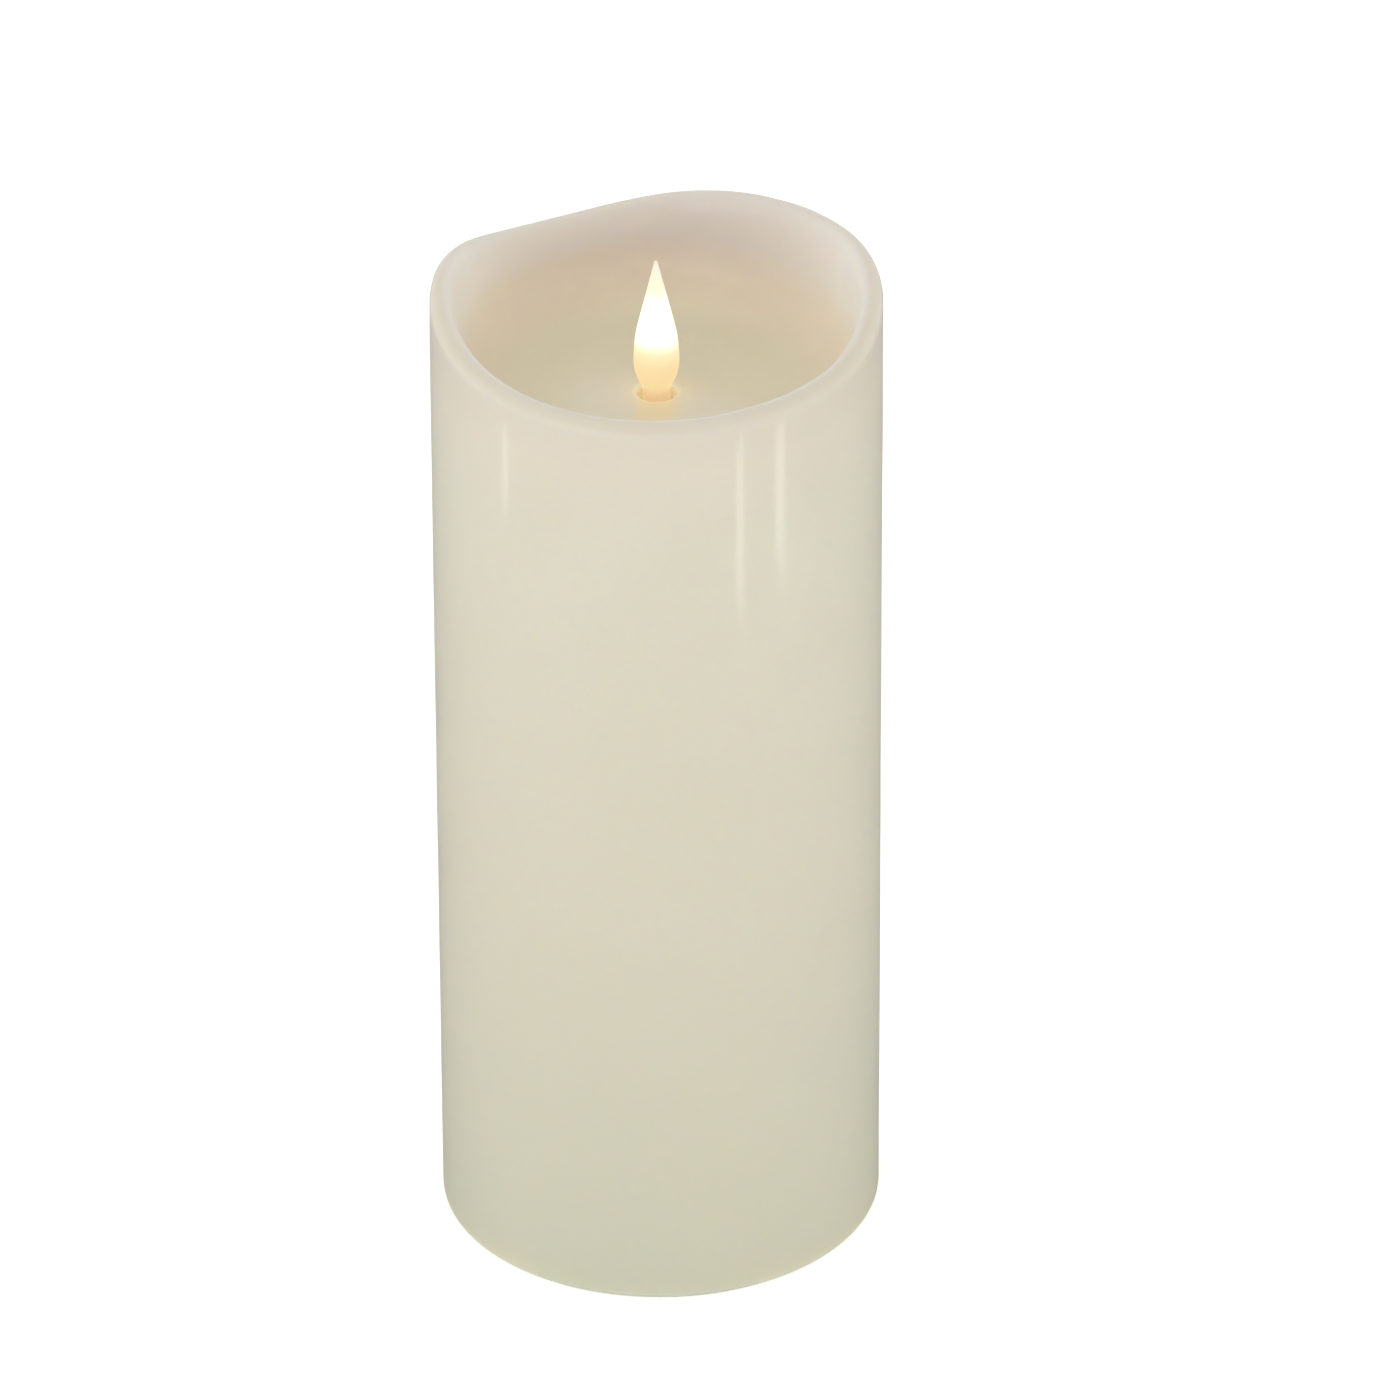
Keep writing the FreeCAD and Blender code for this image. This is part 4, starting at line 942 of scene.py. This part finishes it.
# %% The leads, merged and finished
for name, node, slot_name in (("front_lead", "lamp_lead_front", "wire_yellow"),
                              ("back_lead", "lamp_lead_back", "wire_white")):
    low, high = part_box(node)
    lead = bpy.data.objects.new(name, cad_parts[node].data.copy())
    scene.collection.objects.link(lead)
    shape = bmesh.new()
    shape.from_mesh(lead.data)
    bmesh.ops.remove_doubles(shape, verts=shape.verts, dist=0.001 * MM)
    shape.to_mesh(lead.data)
    shape.free()
    smooth(lead, 50.0)
    paint(lead, FINISHES["tinned_wire"])
    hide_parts(node)
    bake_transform(lead)
    report(lead)

# %% [markdown]
# ## The cells
#
# A C cell is a steel can in a printed jacket: the jacket is shrunk over both rims, the can shows as a ring
# at each end, a washer sits under the positive button, and the negative end is a slightly dished plate. All
# of it is round, so the turning tree makes it, and a finish picks the colour by height. The jacket is a
# plain design of two bands with no lettering.

# %% Cell finish
CELL_BUTTON = 1.5 * MM
JACKET_LAP = 1.8 * MM


def make_cell_finish(name, low, high, upright):
    """Bands of jacket and bare can along one cell, from its flat end to its button."""
    material, tree, shader = new_material(name)
    place = object_place(tree)
    parts = put(tree, "ShaderNodeSeparateXYZ", {0: place}).outputs
    from_middle = {axis: maths(tree, "SUBTRACT", parts[axis], (start + end) / 2)
                   for axis, start, end in (("X", low.x, high.x), ("Y", low.y, high.y))}
    across = put(tree, "ShaderNodeCombineXYZ", from_middle)
    radius = put(tree, "ShaderNodeVectorMath", {0: across.outputs[0]}, operation="LENGTH").outputs["Value"]
    can_radius = (high.x - low.x) / 2
    jacket = spread(tree, radius, can_radius - JACKET_LAP - 0.1 * MM, can_radius - JACKET_LAP, 0.0, 1.0)
    foot, head = (low.z, high.z - CELL_BUTTON) if upright else (high.z, low.z + CELL_BUTTON)
    height = maths(tree, "DIVIDE", maths(tree, "SUBTRACT", parts["Z"], foot), head - foot)
    band = spread(tree, height, 0.705, 0.71, 0.0, 1.0)
    line = maths(tree, "MULTIPLY", spread(tree, height, 0.68, 0.682, 0.0, 1.0),
                 spread(tree, height, 0.692, 0.694, 1.0, 0.0))
    printed = mixed(tree, line, mixed(tree, band, tone(28, 30, 36), tone(182, 128, 66)), tone(214, 214, 210))
    scuffs = maths(tree, "MULTIPLY", noise(tree, place, 420.0, 4.0), 0.14)
    scuffed = mixed(tree, scuffs, printed, tone(120, 120, 122))
    link_into(tree, shader, Base_Color=mixed(tree, jacket, tone(205, 205, 202), scuffed))
    link_into(tree, shader, Metallic=spread(tree, jacket, 0.0, 1.0, 1.0, 0.25))
    link_into(tree, shader, Roughness=spread(tree, noise(tree, place, 600.0, 3.0), 0.3, 0.7, 0.2, 0.36))
    link_into(tree, shader, Normal=relief(tree, noise(tree, place, 900.0, 2.0), 0.01 * MM))
    return material


# %% Two cells
BUTTON_RADIUS = 3.2 * MM


def cell_outline(radius, bottom, shoulder, top):
    """Half of a cell's section, from the middle of its flat end out, up the jacket and in to the button."""
    edge = 0.7 * MM
    rim = radius - JACKET_LAP
    groove = 0.35 * MM
    points = run((0.0, bottom + groove), (rim - groove, bottom + groove), 2.0 * MM)
    points += [(rim, bottom)]
    points += bend((radius - edge, bottom + edge), edge, -90, 0, 0.15 * MM)
    points += run((radius, bottom + edge), (radius, shoulder - 3.2 * MM), 4.0 * MM)
    points += [(radius - groove, shoulder - 2.6 * MM), (radius - groove, shoulder - 2.2 * MM)]
    points += run((radius, shoulder - 1.7 * MM), (radius, shoulder - edge), 1.0 * MM)
    points += bend((radius - edge, shoulder - edge), edge, 0, 90, 0.15 * MM)
    points += [(rim, shoulder), (rim - groove, shoulder - groove)]
    washer = shoulder - groove
    points += run((rim - 2 * groove, washer), (BUTTON_RADIUS + 1.2 * MM, washer), 2.0 * MM)
    points += [(BUTTON_RADIUS + 0.5 * MM, shoulder)]
    points += run((BUTTON_RADIUS, shoulder + 0.2 * MM), (BUTTON_RADIUS, top - groove), 0.5 * MM)
    points += bend((BUTTON_RADIUS - groove, top - groove), groove, 0, 90, 0.1 * MM)
    points += run((BUTTON_RADIUS - groove, top), (0.0, top), 1.5 * MM)
    return points + [(0.0, top)]


for name, node, upright in (("left_cell", "left_battery", True), ("right_cell", "right_battery", False)):
    low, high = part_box(node)
    radius = (high.x - low.x) / 2
    outline = cell_outline(radius, 0.0, high.z - low.z - CELL_BUTTON, high.z - low.z)
    finish = make_cell_finish(name + "_jacket", low, high, upright)
    cell = grow(name, TURNED, outline_mesh(name + "_outline", outline), steps=96, material=finish)
    foot = Vector(((low.x + high.x) / 2, (low.y + high.y) / 2, low.z if upright else high.z))
    over = Matrix.Rotation(0.0 if upright else math.pi, 4, "X")
    cell.data.transform(Matrix.Translation(foot) @ over)
    smooth(cell, 40.0)
    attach(cell, "candle")
    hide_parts(node)
    report(cell)

# %% [markdown]
# ## The sizes
#
# The model's box and the box of the finished pieces are written side by side, so that a piece that has
# drifted or grown past the model shows at once.

# %% Sizes, and the end
sizes = {"cad": [list(corner) for corner in cad_box], "visual": [list(corner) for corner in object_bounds()]}
for key, box in sizes.items():
    print(key, "mm:", [[round(value / MM, 2) for value in corner] for corner in box])
